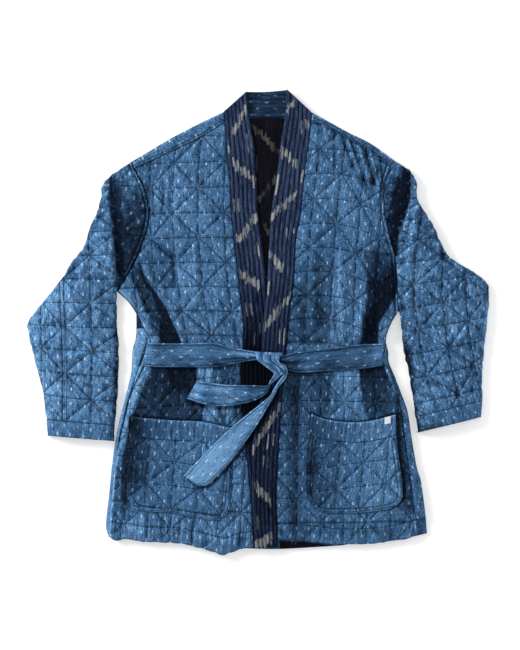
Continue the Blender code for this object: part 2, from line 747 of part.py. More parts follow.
# Sleeves: flattened tubes, doubled over at the pleat, open at the cuff and the armhole
sleeves = (
    ("right", SLEEVE_RIGHT, armhole_right, PLEAT_RIGHT, QUILT_SLEEVE_RIGHT,
     FOLDS_SLEEVE_RIGHT, 9, 1),
    ("left", SLEEVE_LEFT, armhole_left, PLEAT_LEFT, QUILT_SLEEVE_LEFT,
     FOLDS_SLEEVE_LEFT, 10, -1),
)


def sleeve_height(outer, inner, pleat, quilt, folds, hand):
    def height(p, loft=True):
        d_out, _ = off_line(p, outer)
        d_in, _ = off_line(p, inner)
        d_pleat, side = off_line(p, pleat)
        reach = pleat[:, 1].min()
        beyond = (side * hand > 0) & (p[:, 1] > reach)
        d_pleat = np.where(p[:, 1] > reach - 20, d_pleat, 99)
        full = SLEEVE_LOW + (SLEEVE_HIGH - SLEEVE_LOW) * np.sin(
            np.pi / 2 * np.clip(np.minimum(d_out, d_in) / 38, 0, 1)
        )
        at_step = np.clip(d_pleat / 5, 0, 1)
        full = np.where(p[:, 1] > reach, VALLEY + (full - VALLEY) * at_step, full)
        z = np.where(beyond, VALLEY + 2.5 * np.clip(d_pleat / 30, 0, 1), full)
        z = z + folded(p, folds) * ~beyond
        if loft:
            z = z + LOFT * puff(p, quilt) * np.clip(np.minimum(d_out, d_in) / 8, 0, 1)
        return z

    return height


for side, rows, armhole, pleat, quilt, folds, last, hand in sleeves:
    table = np.array(rows, float)
    outer = smooth(table[:, :2])
    inner = smooth(table[last:, 2:])
    cuff = np.array([table[-1, :2], table[-1, 2:]])
    loop, rims = outline(
        (outer, 5), (smooth(cuff), 1.5), (inner[::-1], 5), (armhole[::-1], 0),
        (smooth([table[0, 2:], table[0, :2]]), 4),
    )
    own = inset(loop, GAP / 2)
    crown = inset(own, rims)
    points, lines, tops = quilting(crown, quilt, 5.0)
    tops += fold_points(crown, folds, 5.0)
    fold = smooth(pleat, 12)
    for shift in (0, 6):
        moved = fold - (hand * shift, 0)
        inside = depth(moved, crown) > 4
        first = len(points)
        points += list(moved[inside])
        lines += [(first + k, first + k + 1) for k in range(int(inside.sum()) - 1)]
    whole_inner = np.vstack([armhole, inner])
    made = panel(
        f"sleeve_{side}", indigo, hanten, own, rims,
        sleeve_height(outer, inner, fold, quilt, folds, hand), flat(0),
        (points, lines, tops), low=0.9,
    )
    wide = smooth(table, 40)
    a, b = wide[:, :2], wide[:, 2:]
    slot = np.vstack([a + (b - a) * 0.14, (a + (b - a) * 0.86)[::-1]])
    ends = slot.copy()
    half = len(slot) // 2
    away = np.array((hand * -0.2, -1.0)) * 14
    ends[half - 1] += away
    ends[half] += away
    loop, rims = outline((ends, 0))
    cutter = panel(
        f"slot_{side}", indigo, guides, loop, rims, flat(SLEEVE_SLOT[1]), flat(SLEEVE_SLOT[0])
    )
    boolean(made, guide(cutter), "DIFFERENCE")


def under(points):
    """Highest cloth at each point, for what is laid over it"""
    z = np.full(len(points), ROLL)
    for side in ("right", "left"):
        z = np.where(depth(points, fronts[side][0]) > 2, LEVEL_FRONT, z)
    for side in ("right", "left"):
        inside = depth(points, fronts[side][0]) > -2
        height = front_height(side)(points, loft=False) + LOFT * belt_clear(points)
        z = np.where(inside, np.maximum(z, height), z)
        inside = depth(points, pockets[side][0]) > -2
        height = pocket_foot(side)(points) + POCKET + 2.4
        z = np.where(inside, np.maximum(z, height), z)
        bandloop = np.vstack([collar[side][:, :2], collar[side][::-1, 2:]])
        inside = depth(points, bandloop) > -2
        if side == "right":
            height = np.full(len(points), LEVEL_FRONT + BAND + RIB)
        else:
            reach = np.clip((130 - points[:, 1]) / 90, 0, 1)
            height = LEVEL_FRONT + (LAP - LEVEL_FRONT) * reach + BAND + RIB
        z = np.where(inside, np.maximum(z, height), z)
    return z


def draped(points, reach=12):
    """Height of the cloth under a strip, over all that it touches near each point"""
    flat_points = points.reshape(-1, 2)
    ring = [(np.cos(t) * r, np.sin(t) * r) for t in np.arange(0, 6.2, 0.785)
            for r in (reach / 2, reach)]
    z = np.max([under(flat_points + o) for o in [(0, 0)] + ring], axis=0)
    return z.reshape(points.shape[:2])


def laid(name, rows, step=14, reach=9):
    sections = smooth(rows, step)
    foot = draped(sections[:, None, :2] * 0.5 + sections[:, None, 2:] * 0.5, reach)
    sides = [draped(sections[:, None, k:k + 2], reach) for k in (0, 2)]
    z = np.max([foot, *sides], axis=0) + GAP
    return band(
        name, sash, hanten, sections,
        lambda p, u: z + BELT + 0 * p[..., 0], lambda p, u: z + 0 * p[..., 0],
        (0, 0.5, 1), (0, 0.5, 1),
    )


laid("belt_right", BELT_RIGHT)
laid("belt_left", BELT_LEFT)
laid("belt_tail_upper", TAIL_UPPER)
laid("belt_tail_lower", TAIL_LOWER)

loop, rims = outline((smooth(KNOT_EDGE + KNOT_EDGE[:1], 9), 3))
knot_foot = float(draped(np.array([[(20.0, -60.0)], [(35.0, -80.0)]])).max()) + BELT + 2 * GAP
inner = [np.array((x, y)) for x in range(-2, 48, 8) for y in range(-106, -48, 8)]
inner = [p for p in inner if depth(p, loop)[0] > 5]
panel(
    "belt_knot", sash, hanten, loop, rims,
    lambda p: knot_foot + 4 + (KNOT - 4) * np.sin(
        np.pi / 2 * np.clip(depth(p, loop) / 14, 0, 1)
    ),
    flat(knot_foot), ([], [], inner),
)

# Blank label on the left pocket, at the top of its opening
x0, x1, y0, y1 = LABEL
corners = np.array([(x0, y0), (x1, y0), (x1, y1), (x0, y1)])
sits = pocket_height("left")
around = np.array(
    [(x, y) for x in np.linspace(x0 - 5, x1 + 5, 6) for y in np.linspace(y0 - 5, y1 + 5, 6)]
)
rest = float(sits(around).max()) + GAP
loop, rims = outline((corners, 0))
panel("pocket_label", tag, hanten, loop, rims, flat(rest + 0.8), flat(rest))

# Thread loops that hold the belt at the side seams
for name, ax, ay, bx, by in LOOPS:
    wire = bpy.data.curves.new(name, "CURVE")
    wire.dimensions = "3D"
    wire.bevel_depth = 0.9 * MM
    wire.bevel_resolution = 2
    wire.use_fill_caps = True
    line = wire.splines.new("POLY")
    t = np.linspace(0, 1, 6)
    line.points.add(len(t) - 1)
    for k, s in enumerate(t):
        x, y = ax + (bx - ax) * s, ay + (by - ay) * s
        z = draped(np.array([[(x, y)]]), 1.5)[0, 0] + GAP + 0.9
        line.points[k].co = (x * MM, y * MM, z * MM, 1)
    wire.materials.append(sash)
    hanten.objects.link(bpy.data.objects.new(name, wire))
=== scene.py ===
import math

import bmesh
import bpy
import numpy as np
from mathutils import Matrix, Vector
from mathutils.geometry import delaunay_2d_cdt


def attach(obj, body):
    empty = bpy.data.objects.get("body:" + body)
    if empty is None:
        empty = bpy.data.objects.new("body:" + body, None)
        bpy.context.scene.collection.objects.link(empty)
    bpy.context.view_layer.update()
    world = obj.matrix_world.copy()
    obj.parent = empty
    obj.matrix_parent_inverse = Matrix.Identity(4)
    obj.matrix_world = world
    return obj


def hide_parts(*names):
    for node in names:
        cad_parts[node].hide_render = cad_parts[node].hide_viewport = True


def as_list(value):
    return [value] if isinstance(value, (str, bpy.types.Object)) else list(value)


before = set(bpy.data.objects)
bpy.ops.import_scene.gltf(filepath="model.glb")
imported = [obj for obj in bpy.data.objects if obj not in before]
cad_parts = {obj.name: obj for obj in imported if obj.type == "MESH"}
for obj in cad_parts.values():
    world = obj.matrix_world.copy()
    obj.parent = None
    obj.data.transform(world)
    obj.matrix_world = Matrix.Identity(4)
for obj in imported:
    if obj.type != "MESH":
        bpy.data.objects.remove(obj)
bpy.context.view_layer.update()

# Quilted indigo hanten with a kasuri collar band, laid flat, belt tied.
# X runs to the wearer's left, Y to the neck, Z up. Tables are in millimetres.

mm = 0.001
level = {
    "back": 5.5,          # the back lies on the floor, this thick
    "front": 5.8,         # the fronts lie on it
    "wall": 6.0,          # quilted cloth at a stitched row
    "loft": 3.0,          # how far a puff stands over its stitching
    "swell": 4.0,         # rise of a front away from its seams
    "air": 3.4,           # most air under a front
    "roll": 12.5,         # the back where it turns round to the front
    "band": 5.0,          # collar band in a groove
    "rib": 1.9,           # its corded channels
    "lap": 12.9,          # upper collar band over the lower one
    "pocket": 4.2,
    "belt": 2.4,
    "lining": 1.0,
}
pitch = 41.5              # between rows of quilting
slantPitch = 58.7         # between its slanted rows
beltAt = -57              # y where the belt draws the cloth in
unsewn = 40.0             # stands for the distance to stitching where there is none
distant = 99.0            # stands for the distance to a seam or edge that isn't near
fine = 1.8   # mesh grid
hiddenStep = 9.0          # mesh grid of cloth that is hidden
trimStep = 1.5            # mesh grid of narrow cloth
underStep = 16.0          # mesh grid of an underside

# outlines: x, y down each seam or edge
cut = {
    "right": {
        "shoulderEdge": ((-58, 347), (-94, 330), (-144, 304), (-181, 282), (-210, 265)),
        "shoulderSeam": ((-56, 330), (-95, 306), (-144, 282), (-181, 265), (-206, 254)),
        "armhole": (
            (-210, 265), (-206, 254), (-197, 238), (-189, 220), (-183, 198), (-181, 178), (-185, 153),
            (-194, 126), (-203, 105), (-218, 76), (-234, 51),
        ),
        "underarm": ((-234, 51), (-215, 33), (-202, 14), (-189, -10), (-178, -31)),
        "sideSeam": (
            (-178, -31), (-186, -46), (-197, -72), (-212, -120), (-224, -168), (-233, -211), (-239, -252),
            (-243, -294), (-246, -326), (-247, -355),
        ),
        "backSide": (
            (-202, 14), (-202, -10), (-203, -27), (-208, -46), (-210, -79), (-215, -104), (-223, -135),
            (-234, -181), (-242, -234), (-247, -285), (-251, -318), (-252, -340), (-247, -356),
        ),
        "hem": (
            (-247, -355), (-236, -361), (-215, -359), (-190, -364), (-135, -366), (-97, -374), (-76, -380),
            (-59, -385), (-42, -380), (-22, -374), (-8, -372),
        ),
        "pocket": (
            (-214, -154), (-190, -158), (-138, -162), (-95, -164), (-46, -174), (-44, -229), (-46, -275),
            (-49, -307), (-59, -322), (-74, -326), (-113, -320), (-143, -314), (-194, -310), (-211, -297),
            (-217, -275), (-214, -211),
        ),
        # collar band, neck to hem: free edge x, y, seam edge x, y
        "collar": (
            (-20, 381, -58, 347), (-18, 360, -56, 330), (-16, 339, -55, 312), (-12, 315, -54, 296),
            (-7, 278, -52, 271), (-4, 231, -48, 230), (-3, 190, -46, 189), (3, 142, -42, 142),
            (10, 83, -35, 79), (13, 42, -31, 42), (18, 4, -26, 4), (18, -34, -26, -34), (14, -79, -30, -79),
            (16, -145, -27, -145), (19, -206, -22, -206), (22, -290, -13, -290), (24, -372, -8, -372),
        ),
        # belt: upper edge x, y, lower edge x, y
        "belt": (
            (-183, -34, -193, -72), (-166, -35, -169, -74), (-122, -35, -122, -74), (-72, -35, -72, -74),
            (-51, -41, -51, -70), (-28, -45, -28, -66), (-8, -48, -8, -63), (3, -50, 5, -60),
        ),
    },
    "left": {
        "shoulderEdge": ((87, 347), (118, 330), (147, 314), (185, 295), (224, 267)),
        "shoulderSeam": ((87, 334), (118, 322), (151, 304), (185, 285), (219, 260)),
        "armhole": (
            (224, 267), (219, 260), (213, 244), (208, 228), (207, 208), (208, 180), (213, 157), (218, 134),
            (225, 112), (229, 70), (231, 18),
        ),
        "underarm": ((231, 18), (220, 0), (212, -20), (210, -33)),
        "sideSeam": (
            (210, -33), (211, -49), (212, -66), (221, -92), (229, -122), (236, -148), (242, -194),
            (249, -244), (255, -294), (260, -326), (264, -352),
        ),
        "backSide": (
            (210, -33), (214, -49), (215, -66), (225, -90), (236, -119), (246, -148), (252, -186),
            (260, -234), (268, -263), (273, -297), (276, -322), (278, -349),
        ),
        "hem": (
            (32, -360), (55, -360), (89, -363), (119, -367), (156, -368), (195, -366), (237, -360),
            (264, -352), (278, -349),
        ),
        "pocket": (
            (87, -151), (111, -160), (153, -165), (187, -162), (226, -152), (227, -196), (234, -246),
            (237, -280), (232, -297), (217, -307), (187, -312), (145, -315), (99, -312), (84, -297),
            (78, -272), (80, -213),
        ),
        # collar band, neck to hem: free edge x, y, seam edge x, y
        "collar": (
            (46, 385, 87, 347), (45, 363, 87, 334), (44, 341, 86, 319), (37, 299, 83, 294),
            (32, 256, 77, 254), (26, 215, 73, 215), (21, 181, 70, 180), (18, 136, 62, 136), (15, 79, 59, 79),
            (13, 46, 54, 45), (8, 4, 49, 4), (5, -34, 46, -34), (5, -102, 39, -102), (-3, -153, 36, -153),
            (-10, -203, 33, -203), (-11, -279, 29, -279), (-6, -372, 32, -371),
        ),
        # belt: upper edge x, y, lower edge x, y
        "belt": (
            (36, -56, 38, -76), (51, -52, 52, -80), (68, -49, 68, -83), (118, -43, 118, -80),
            (167, -37, 167, -77), (195, -36, 197, -73), (207, -35, 203, -72),
        ),
    },
}
right, left = cut["right"], cut["left"]
neckBack = ((-58, 347), (-16, 338), (44, 338), (87, 347))
hemBack = (
    (-247, -354), (-215, -355), (-135, -362), (-72, -370), (-31, -373), (-12, -374), (22, -375), (55, -374),
    (89, -372), (134, -369), (156, -366), (195, -364), (237, -358), (278, -349),
)


def unit(t):
    return np.clip(t, 0, 1)


def ridge(d, at, half, height):  # a soft ridge or groove along a line at that distance
    return height * np.exp(-(((d - at) / half) ** 2))


def rounded(t):  # 1 at the edge of a sheet, 0 from t = 1 on
    return 1 - np.sqrt(1 - (1 - unit(t)) ** 2)


def even(z):
    return lambda p: np.full(len(p), z)


def smooth(rows, step=3.0):  # points every step along a soft curve through the rows
    p = np.array(rows, float)
    q = np.vstack([2 * p[0] - p[1], p, 2 * p[-1] - p[-2]])
    out = []
    for a, b, c, d in zip(q, q[1:], q[2:], q[3:]):
        n = max(1, round(float(np.linalg.norm((c - b)[:2])) / step))
        t = (np.arange(n) / n)[:, None]
        out.append(0.5 * (2 * b + (c - a) * t + (2 * a - 5 * b + 4 * c - d) * t**2
                          + (3 * b - a - 3 * c + d) * t**3))
    return np.vstack(out + [p[-1:]])


def backwards(rows, step=3.0):
    return smooth(rows, step)[::-1]


def closed(loop, every=1):
    return np.vstack([loop, loop[:1]])[::every]


def outline(*edges):  # joins edges, each with its rounding, into one anticlockwise loop
    points, rims = [], []
    for edge, rim in edges:
        for p in edge:
            if points and np.hypot(*(p - points[-1])) < 1.2:
                rims[-1] = min(rims[-1], rim)
            else:
                points.append(p)
                rims.append(rim)
    if np.hypot(*(points[0] - points[-1])) < 1.2:
        rims[0] = min(rims[0], rims.pop())
        points.pop()
    loop, rims = np.array(points), np.array(rims, float)
    x, y = loop.T
    if (x * np.roll(y, -1) - y * np.roll(x, -1)).sum() < 0:
        loop, rims = loop[::-1], rims[::-1]
    return loop, rims


def inset(loop, by):  # the loop moved inwards
    sides = (loop - np.roll(loop, 1, 0), np.roll(loop, -1, 0) - loop)
    n1, n2 = (np.stack([-e[:, 1], e[:, 0]], 1) / np.linalg.norm(e, axis=1)[:, None] for e in sides)
    lean = np.clip(1 + (n1 * n2).sum(1), 0.5, 2)[:, None]
    return loop + (n1 + n2) / lean * np.broadcast_to(by, len(loop))[:, None]


def ruffled(loop, rims, quilt, plain=-0.1):  # free edges waver, drawn in where quilting meets them
    notch = ridge(toRow(quilt(loop)), 0, 4.0, 1.3)
    drawn = 0.6 + 0.6 * noise(loop, 8, 9.0) + notch
    slight = 0.5 + 0.35 * noise(loop, 8, 7.0)
    return inset(loop, np.where(rims > 3, drawn, np.where(rims > 1, slight, plain)))


def offLine(points, line, chunk=1500):  # distance to a line, side of it, nearest stretch of it
    distance, side, near = (np.empty(len(points)) for _ in range(3))
    a, run = line[:-1], np.diff(line, axis=0)
    size = (run**2).sum(1)
    for k in range(0, len(points), chunk):
        p = points[k:k + chunk, None, :2] - a[None]
        along = unit((p * run).sum(2) / size)
        apart = ((p - along[..., None] * run) ** 2).sum(2)
        best = apart.argmin(1)
        rows = np.arange(len(best))
        w, d = p[rows, best], run[best]
        distance[k:k + chunk] = np.sqrt(apart[rows, best])
        side[k:k + chunk] = np.sign(d[:, 0] * w[:, 1] - d[:, 1] * w[:, 0])
        near[k:k + chunk] = best + along[rows, best]
    return distance, side, near


def far(points, line):
    return offLine(points, line)[0]


def within(points, loop, chunk=4000):
    x0, y0 = loop.T
    x1, y1 = np.roll(x0, -1), np.roll(y0, -1)
    lean = (x1 - x0) / np.where(y1 == y0, 1, y1 - y0)
    out = np.empty(len(points), bool)
    for k in range(0, len(points), chunk):
        x, y = points[k:k + chunk, :1], points[k:k + chunk, 1:2]
        crossed = ((y0 > y) != (y1 > y)) & (x < x0 + (y - y0) * lean)
        out[k:k + chunk] = crossed.sum(1) % 2 == 1
    return out


def depth(points, loop):  # how far inside a loop, under 0 outside
    distance = far(points, closed(loop))
    return np.where(within(points, loop), distance, -distance)


def noise(points, seed, size):  # smooth relief, -1 to 1; size is one length or one for x and y
    table = np.random.default_rng(seed).uniform(-1, 1, (64, 64))
    q = points / size
    cell = np.floor(q).astype(int)
    t = q - cell
    t = t * t * t * (t * (6 * t - 15) + 10)
    i, j = (cell % 64).T
    k, m = (i + 1) % 64, (j + 1) % 64
    a = table[i, j] + (table[k, j] - table[i, j]) * t[:, 0]
    b = table[i, m] + (table[k, m] - table[i, m]) * t[:, 0]
    return a + (b - a) * t[:, 1]


def folded(p, folds):
    z = np.zeros(len(p))
    for x0, y0, x1, y1, half, height in folds:
        d = far(p, np.array([(x0, y0), (x1, y1)], float))
        z += height * 0.5 * (1 + np.cos(np.pi * np.minimum(1, d / half)))
    return z


def veiled(p, veils):  # shade between two edges that run down the cloth
    total = np.zeros(len(p))
    ease = lambda t: unit(t) ** 2 * (3 - 2 * unit(t))
    for veil in veils:
        rows = np.array(veil, float)[::-1]
        x0, soft0, x1, soft1 = (np.interp(p[:, 1], rows[:, 0], c) for c in rows[:, 1:5].T)
        amount = np.interp(p[:, 1], rows[:, 0], rows[:, 5], left=0, right=0)
        total += amount * ease((p[:, 0] - x0) / soft0 + 0.5) * ease((x1 - p[:, 0]) / soft1 + 0.5)
    return total


def fitted(crossings, terms):  # quilting rows at whole numbers, a smooth map through the crossings
    rows = np.array(crossings, float)

    def spread(p):
        x, y = p[:, 0] / 100, p[:, 1] / 100
        return np.stack([1 + 0 * x, x, y, x * y, x * x, y * y][:terms], 1)

    known = spread(rows)
    solved = np.linalg.solve(known.T @ known + 1e-3 * np.eye(terms), known.T @ rows[:, 2:])
    return lambda p: spread(p) @ solved


def parted(upper, lower):  # the cloth is drawn in by the belt
    return lambda p: np.where(p[:, 1:2] > beltAt, upper(p), lower(p))


def tucked(lay, x, y, lean, low, hidden):  # cloth is folded away along a line that runs down
    def moved(p):
        q = lay(p)
        q[:, 0] += hidden * ((p[:, 0] > x + (y - p[:, 1]) * lean) & (p[:, 1] > low))
        return q
    return moved


def turned(lay, degrees):
    c, s = math.cos(math.radians(degrees)), math.sin(math.radians(degrees))
    return lambda p: lay(p) @ np.array([(c, -s), (s, c)])


puffLook = {
    "half": 12.2, "draw": 7.0,   # half of a puff, and how far its stitching draws it in
    "groove": (1.6, 1.1),        # half width and depth at a row
    "lit": 5.0, "start": 1.5,    # how far light and shade reach beside a row, and where they start
}


def onCloth(points, quilt):
    p = points[:, :2]
    return quilt(p) + np.stack([noise(p, 5, 50.0), noise(p, 6, 50.0)], 1) * 0.022


def toRow(q):  # distance to the nearest row of quilting, mm
    u, v = q.T
    whole = lambda t: np.abs(t - np.round(t))
    slant = lambda t: np.abs(t - 2 * np.round(t / 2)) / math.sqrt(2)
    return np.min([whole(u), whole(v), slant(u + v), slant(u - v)], axis=0) * pitch


def sided(t, gap):  # painted light, 1, just right of a row of quilting; painted shade, -1, just left of the next
    t = t - np.floor(t)
    reach, start = gap / puffLook["lit"], gap / puffLook["start"]
    lit = np.exp(-t * reach) * np.minimum(1, t * start)
    return lit - np.exp((t - 1) * reach) * np.minimum(1, (1 - t) * start)


def quilted(q, seed):  # relief of wadded cloth, and its tone: wear with painted light and shade
    u, v = q.T
    d = toRow(q)
    puff = 1 - (1 - np.minimum(1, d / puffLook["half"])) ** 2
    flat = q * pitch
    bent = flat + np.column_stack([3.0 * noise(flat, seed + 5, 26.0), np.zeros(len(flat))])
    gather = noise(bent, seed, (6.5, 26.0)) + 0.6 * noise(bent, seed + 1, (3.8, 13.0))
    crease = (1 - np.abs(noise(bent, seed + 4, (7.0, 24.0)))) ** 7
    small, soft = noise(flat, seed + 2, 5.0), noise(flat, seed + 3, 52.0)
    fleck = noise(flat, seed + 6, (2.6, 7.0))
    draw = np.exp(-d / puffLook["draw"])
    tilted = np.column_stack([flat[:, 0] + 0.8 * flat[:, 1], flat[:, 1] - 0.8 * flat[:, 0]]) / 1.28
    pucker = noise(tilted, seed + 7, (3.4, 15.0)) * draw
    z = level["loft"] * (puff - 0.1) + gather * (0.3 + 0.7 * draw) - 0.6 * crease
    z += 0.7 * small * draw + 0.35 * fleck - ridge(d, 0, *puffLook["groove"]) + 0.8 * soft + 0.6 * pucker
    # tone mixes random wear with painted light and shade: lighter puffs, gathers and puckers, darker creases
    # and rows, a lit and a shaded side to each row
    shadingAndWear = 0.03 * (puff - 0.6) + 0.09 * gather * (0.3 + 0.7 * draw) - 0.06 * crease + 0.05 * small
    shadingAndWear += 0.12 * fleck + 0.05 * soft - ridge(np.abs(u - np.round(u)) * pitch, 0, 3.0, 0.04)
    shadingAndWear += 0.03 + 0.08 * pucker + 0.05 * sided(u, pitch)
    return z, shadingAndWear + 0.035 * (sided((u + v) / 2, slantPitch) + sided((u - v) / 2, slantPitch))


def edged(z, foot, points, loop, rims):  # rounds the sheet off to its edge
    d, _, near = offLine(points, closed(loop))
    rim = rims[np.floor(near).astype(int) % len(rims)]
    return foot + (z - foot) * (1 - (0.5 + 0.05 * rim) * rounded(d / (2.0 + 0.6 * rim)))


def triangles(points, edges):
    found = delaunay_2d_cdt([Vector(p) for p in points], edges, [], 1, 1e-4)
    spots = np.array([tuple(v) for v in found[0]])
    return spots, found[2], {k: new for new, old in enumerate(found[3]) for k in old}


def filled(ring, step):  # an even grid inside the ring, stitched to it: points, faces
    lo = ring.min(0) - step
    nx, ny = np.ceil((ring.max(0) + step - lo) / step).astype(int) + 1
    gx, gy = np.meshgrid(lo[0] + step * np.arange(nx), lo[1] + step * np.arange(ny), indexing="ij")
    spots = np.stack([gx.ravel(), gy.ravel()], 1)
    free = (depth(spots, ring) > step * 0.7).reshape(nx, ny)
    four = lambda t: (t[:-1, :-1], t[1:, :-1], t[1:, 1:], t[:-1, 1:])
    cell = np.all(four(free), axis=0)
    n = len(ring)
    quads = np.stack(four(np.arange(nx * ny).reshape(nx, ny)), -1)[cell]
    pairs = np.concatenate([quads[:, [k, (k + 1) % 4]] for k in range(4)])
    _, first, count = np.unique(np.sort(pairs, 1) @ (nx * ny, 1), return_index=True, return_counts=True)
    rim = pairs[first[count == 1]]
    rimCodes = np.unique(rim)
    local = {c: n + k for k, c in enumerate(rimCodes)}
    edges = [(k, (k + 1) % n) for k in range(n)] + [(local[a], local[b]) for a, b in rim]
    upper, faces, place = triangles(np.vstack([ring, spots[rimCodes]]), edges)
    i, j = np.floor((np.array([upper[f].mean(0) for f in faces]) - lo) / step).astype(int).T
    ok = (i >= 0) & (j >= 0) & (i < nx - 1) & (j < ny - 1)
    covered = np.zeros(len(faces), bool)
    covered[ok] = cell[i[ok], j[ok]]
    inner = np.setdiff1d(np.unique(quads), rimCodes)
    look = {c: place[local[c]] for c in rimCodes}
    look.update({c: len(upper) + k for k, c in enumerate(inner)})
    faces = [f for f, c in zip(faces, covered) if not c] + [[look[c] for c in q] for q in quads]
    return np.vstack([upper, spots[inner]]), faces, [place[k] for k in range(n)]


def shell(loop, rims, top, foot, step=None, low=0.3):  # closed sheet, rounded rim
    n = len(loop)
    upper, faces, ring = filled(inset(loop, 1.0), step or fine)
    points = [np.column_stack([upper, top(upper)])]
    start = len(upper)
    rows = [ring]
    for by in (0.3, 0.0):
        p = inset(loop, by)
        points.append(np.column_stack([p, top(p)]))
        rows.append(list(range(start, start + n)))
        start += n
    p = inset(loop, 0.1 + rims * low)
    lo, hi = p.min(0), p.max(0)
    more = [
        (x + underStep / 2 * (k % 2), y) for k, y in enumerate(np.arange(lo[1] + 9, hi[1], underStep))
        for x in np.arange(lo[0] + 9, hi[0], underStep)
    ]
    more = [q for q, d in zip(more, depth(np.array(more), p)) if d > 6] if more else []
    under, below, place = triangles(list(p) + more, [(k, (k + 1) % n) for k in range(n)])
    points.append(np.column_stack([under, foot(under)]))
    rows.append([start + place[k] for k in range(n)])
    faces += [[start + k for k in f[::-1]] for f in below]
    for a, b in zip(rows, rows[1:]):
        faces += [[a[k], b[k], b[(k + 1) % n], a[(k + 1) % n]] for k in range(n)]
    return np.vstack(points), faces


def strip(sections, across, top, foot):  # closed lofted strip; sections hold both edges
    a, b = sections[:, None, :2], sections[:, None, 2:4]
    spots = a + (b - a) * np.asarray(across, float)[None, :, None]
    u = np.broadcast_to(across, spots.shape[:2])
    n, m = u.shape
    points = np.vstack([np.dstack([spots, z(spots, u)]).reshape(-1, 3) for z in (top, foot)])
    code = np.arange(n * m).reshape(n, m)
    quads = np.stack([code[:-1, :-1], code[:-1, 1:], code[1:, 1:], code[1:, :-1]], -1).reshape(-1, 4)
    faces = quads.tolist() + (quads[:, ::-1] + n * m).tolist()
    edge = list(code[0]) + list(code[1:, -1]) + list(code[-1, -2::-1]) + list(code[-2:0:-1, 0])
    faces += [[p, p + n * m, q + n * m, q] for p, q in zip(edge, edge[1:] + edge[:1])]
    return points, faces


def widths(sections):
    return np.linalg.norm(sections[:, 2:4] - sections[:, :2], axis=1)


def runOf(sections):  # length along the middle of a strip, at each section
    middle = (sections[:, :2] + sections[:, 2:4]) / 2
    return np.concatenate([[0], np.cumsum(np.linalg.norm(np.diff(middle, axis=0), axis=1))])


def cutOf(loop):  # width and length of flat cloth inside a loop, and its area, metres
    x, y = loop.T
    area = abs((x * np.roll(y, -1) - y * np.roll(x, -1)).sum()) / 2
    return (float(np.ptp(x)) * mm, float(np.ptp(y)) * mm), float(area) * mm * mm


def stripCut(*strips):  # the same of strips laid end to end
    wide, long, area = 0.0, 0.0, 0.0
    for rows in strips:
        s = smooth(np.array(rows, float)[:, :4], 2.5)
        across, run = widths(s), runOf(s)
        wide, long = max(wide, float(across.max())), long + float(run[-1])
        area += float(((across[1:] + across[:-1]) / 2 * np.diff(run)).sum())
    return (wide * mm, long * mm), area * mm * mm


def linked(name, data):
    made = bpy.data.objects.new(name, data)
    bpy.context.scene.collection.objects.link(made)
    return made


def piece(node, shells, paint, cloth=None, marks=None, ending="cloth"):  # one dressed piece
    name = f"{node}_{ending}"
    points, faces, start = [], [], 0
    for p, f in shells:
        points.append(p)
        faces += [[k + start for k in face] for face in f]
        start += len(p)
    points = np.vstack(points)
    mesh = bpy.data.meshes.new(name)
    mesh.from_pydata((points * mm).tolist(), [], faces)
    corners = np.empty(len(mesh.loops), int)
    mesh.loops.foreach_get("vertex_index", corners)
    if cloth:
        sheet = mesh.uv_layers.new(name="cloth")
        sheet.data.foreach_set("uv", (cloth(points) * mm)[corners].astype(np.float32).ravel())
    for key, rule in {"quilt": even(0.0), "stitch": even(unsewn), **(marks or {})}.items():
        made = mesh.attributes.new(key, "FLOAT", "POINT")
        made.data.foreach_set("value", rule(points).astype(np.float32))
    bm = bmesh.new()
    bm.from_mesh(mesh)
    bmesh.ops.recalc_face_normals(bm, faces=bm.faces)
    bm.to_mesh(mesh)
    bm.free()
    mesh.shade_smooth()
    mesh.materials.append(paint)
    made = linked(name, mesh)
    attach(made, "root")
    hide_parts(node)
    print("made", name, len(mesh.vertices), "points", len(mesh.polygons), "faces")


# paints
class Wire:  # a socket that takes part in sums
    def __init__(self, paint, socket):
        self.paint, self.socket = paint, socket

    def math(self, kind, *more):
        return self.paint.sum(kind, self, *more)

    def __add__(self, other): return self.math("ADD", other)
    def __sub__(self, other): return self.math("SUBTRACT", other)
    def __mul__(self, other): return self.math("MULTIPLY", other)
    def __truediv__(self, other): return self.math("DIVIDE", other)
    def __rtruediv__(self, other): return self.paint.sum("DIVIDE", other, self)
    def __rsub__(self, other): return self.paint.sum("SUBTRACT", other, self)
    def __abs__(self): return self.math("ABSOLUTE")
    __radd__, __rmul__ = __add__, __mul__

    def floor(self): return self.math("FLOOR")
    def least(self, other): return self.math("MINIMUM", other)
    def most(self, other): return self.math("MAXIMUM", other)
    def swing(self, size): return self.math("PINGPONG", size)

    def ramp(self, start, end):  # eased from 0 at start to 1 at end
        return self.paint.node("ShaderNodeMapRange", {"interpolation_type": "SMOOTHSTEP"},
                               {0: self, 1: start, 2: end})


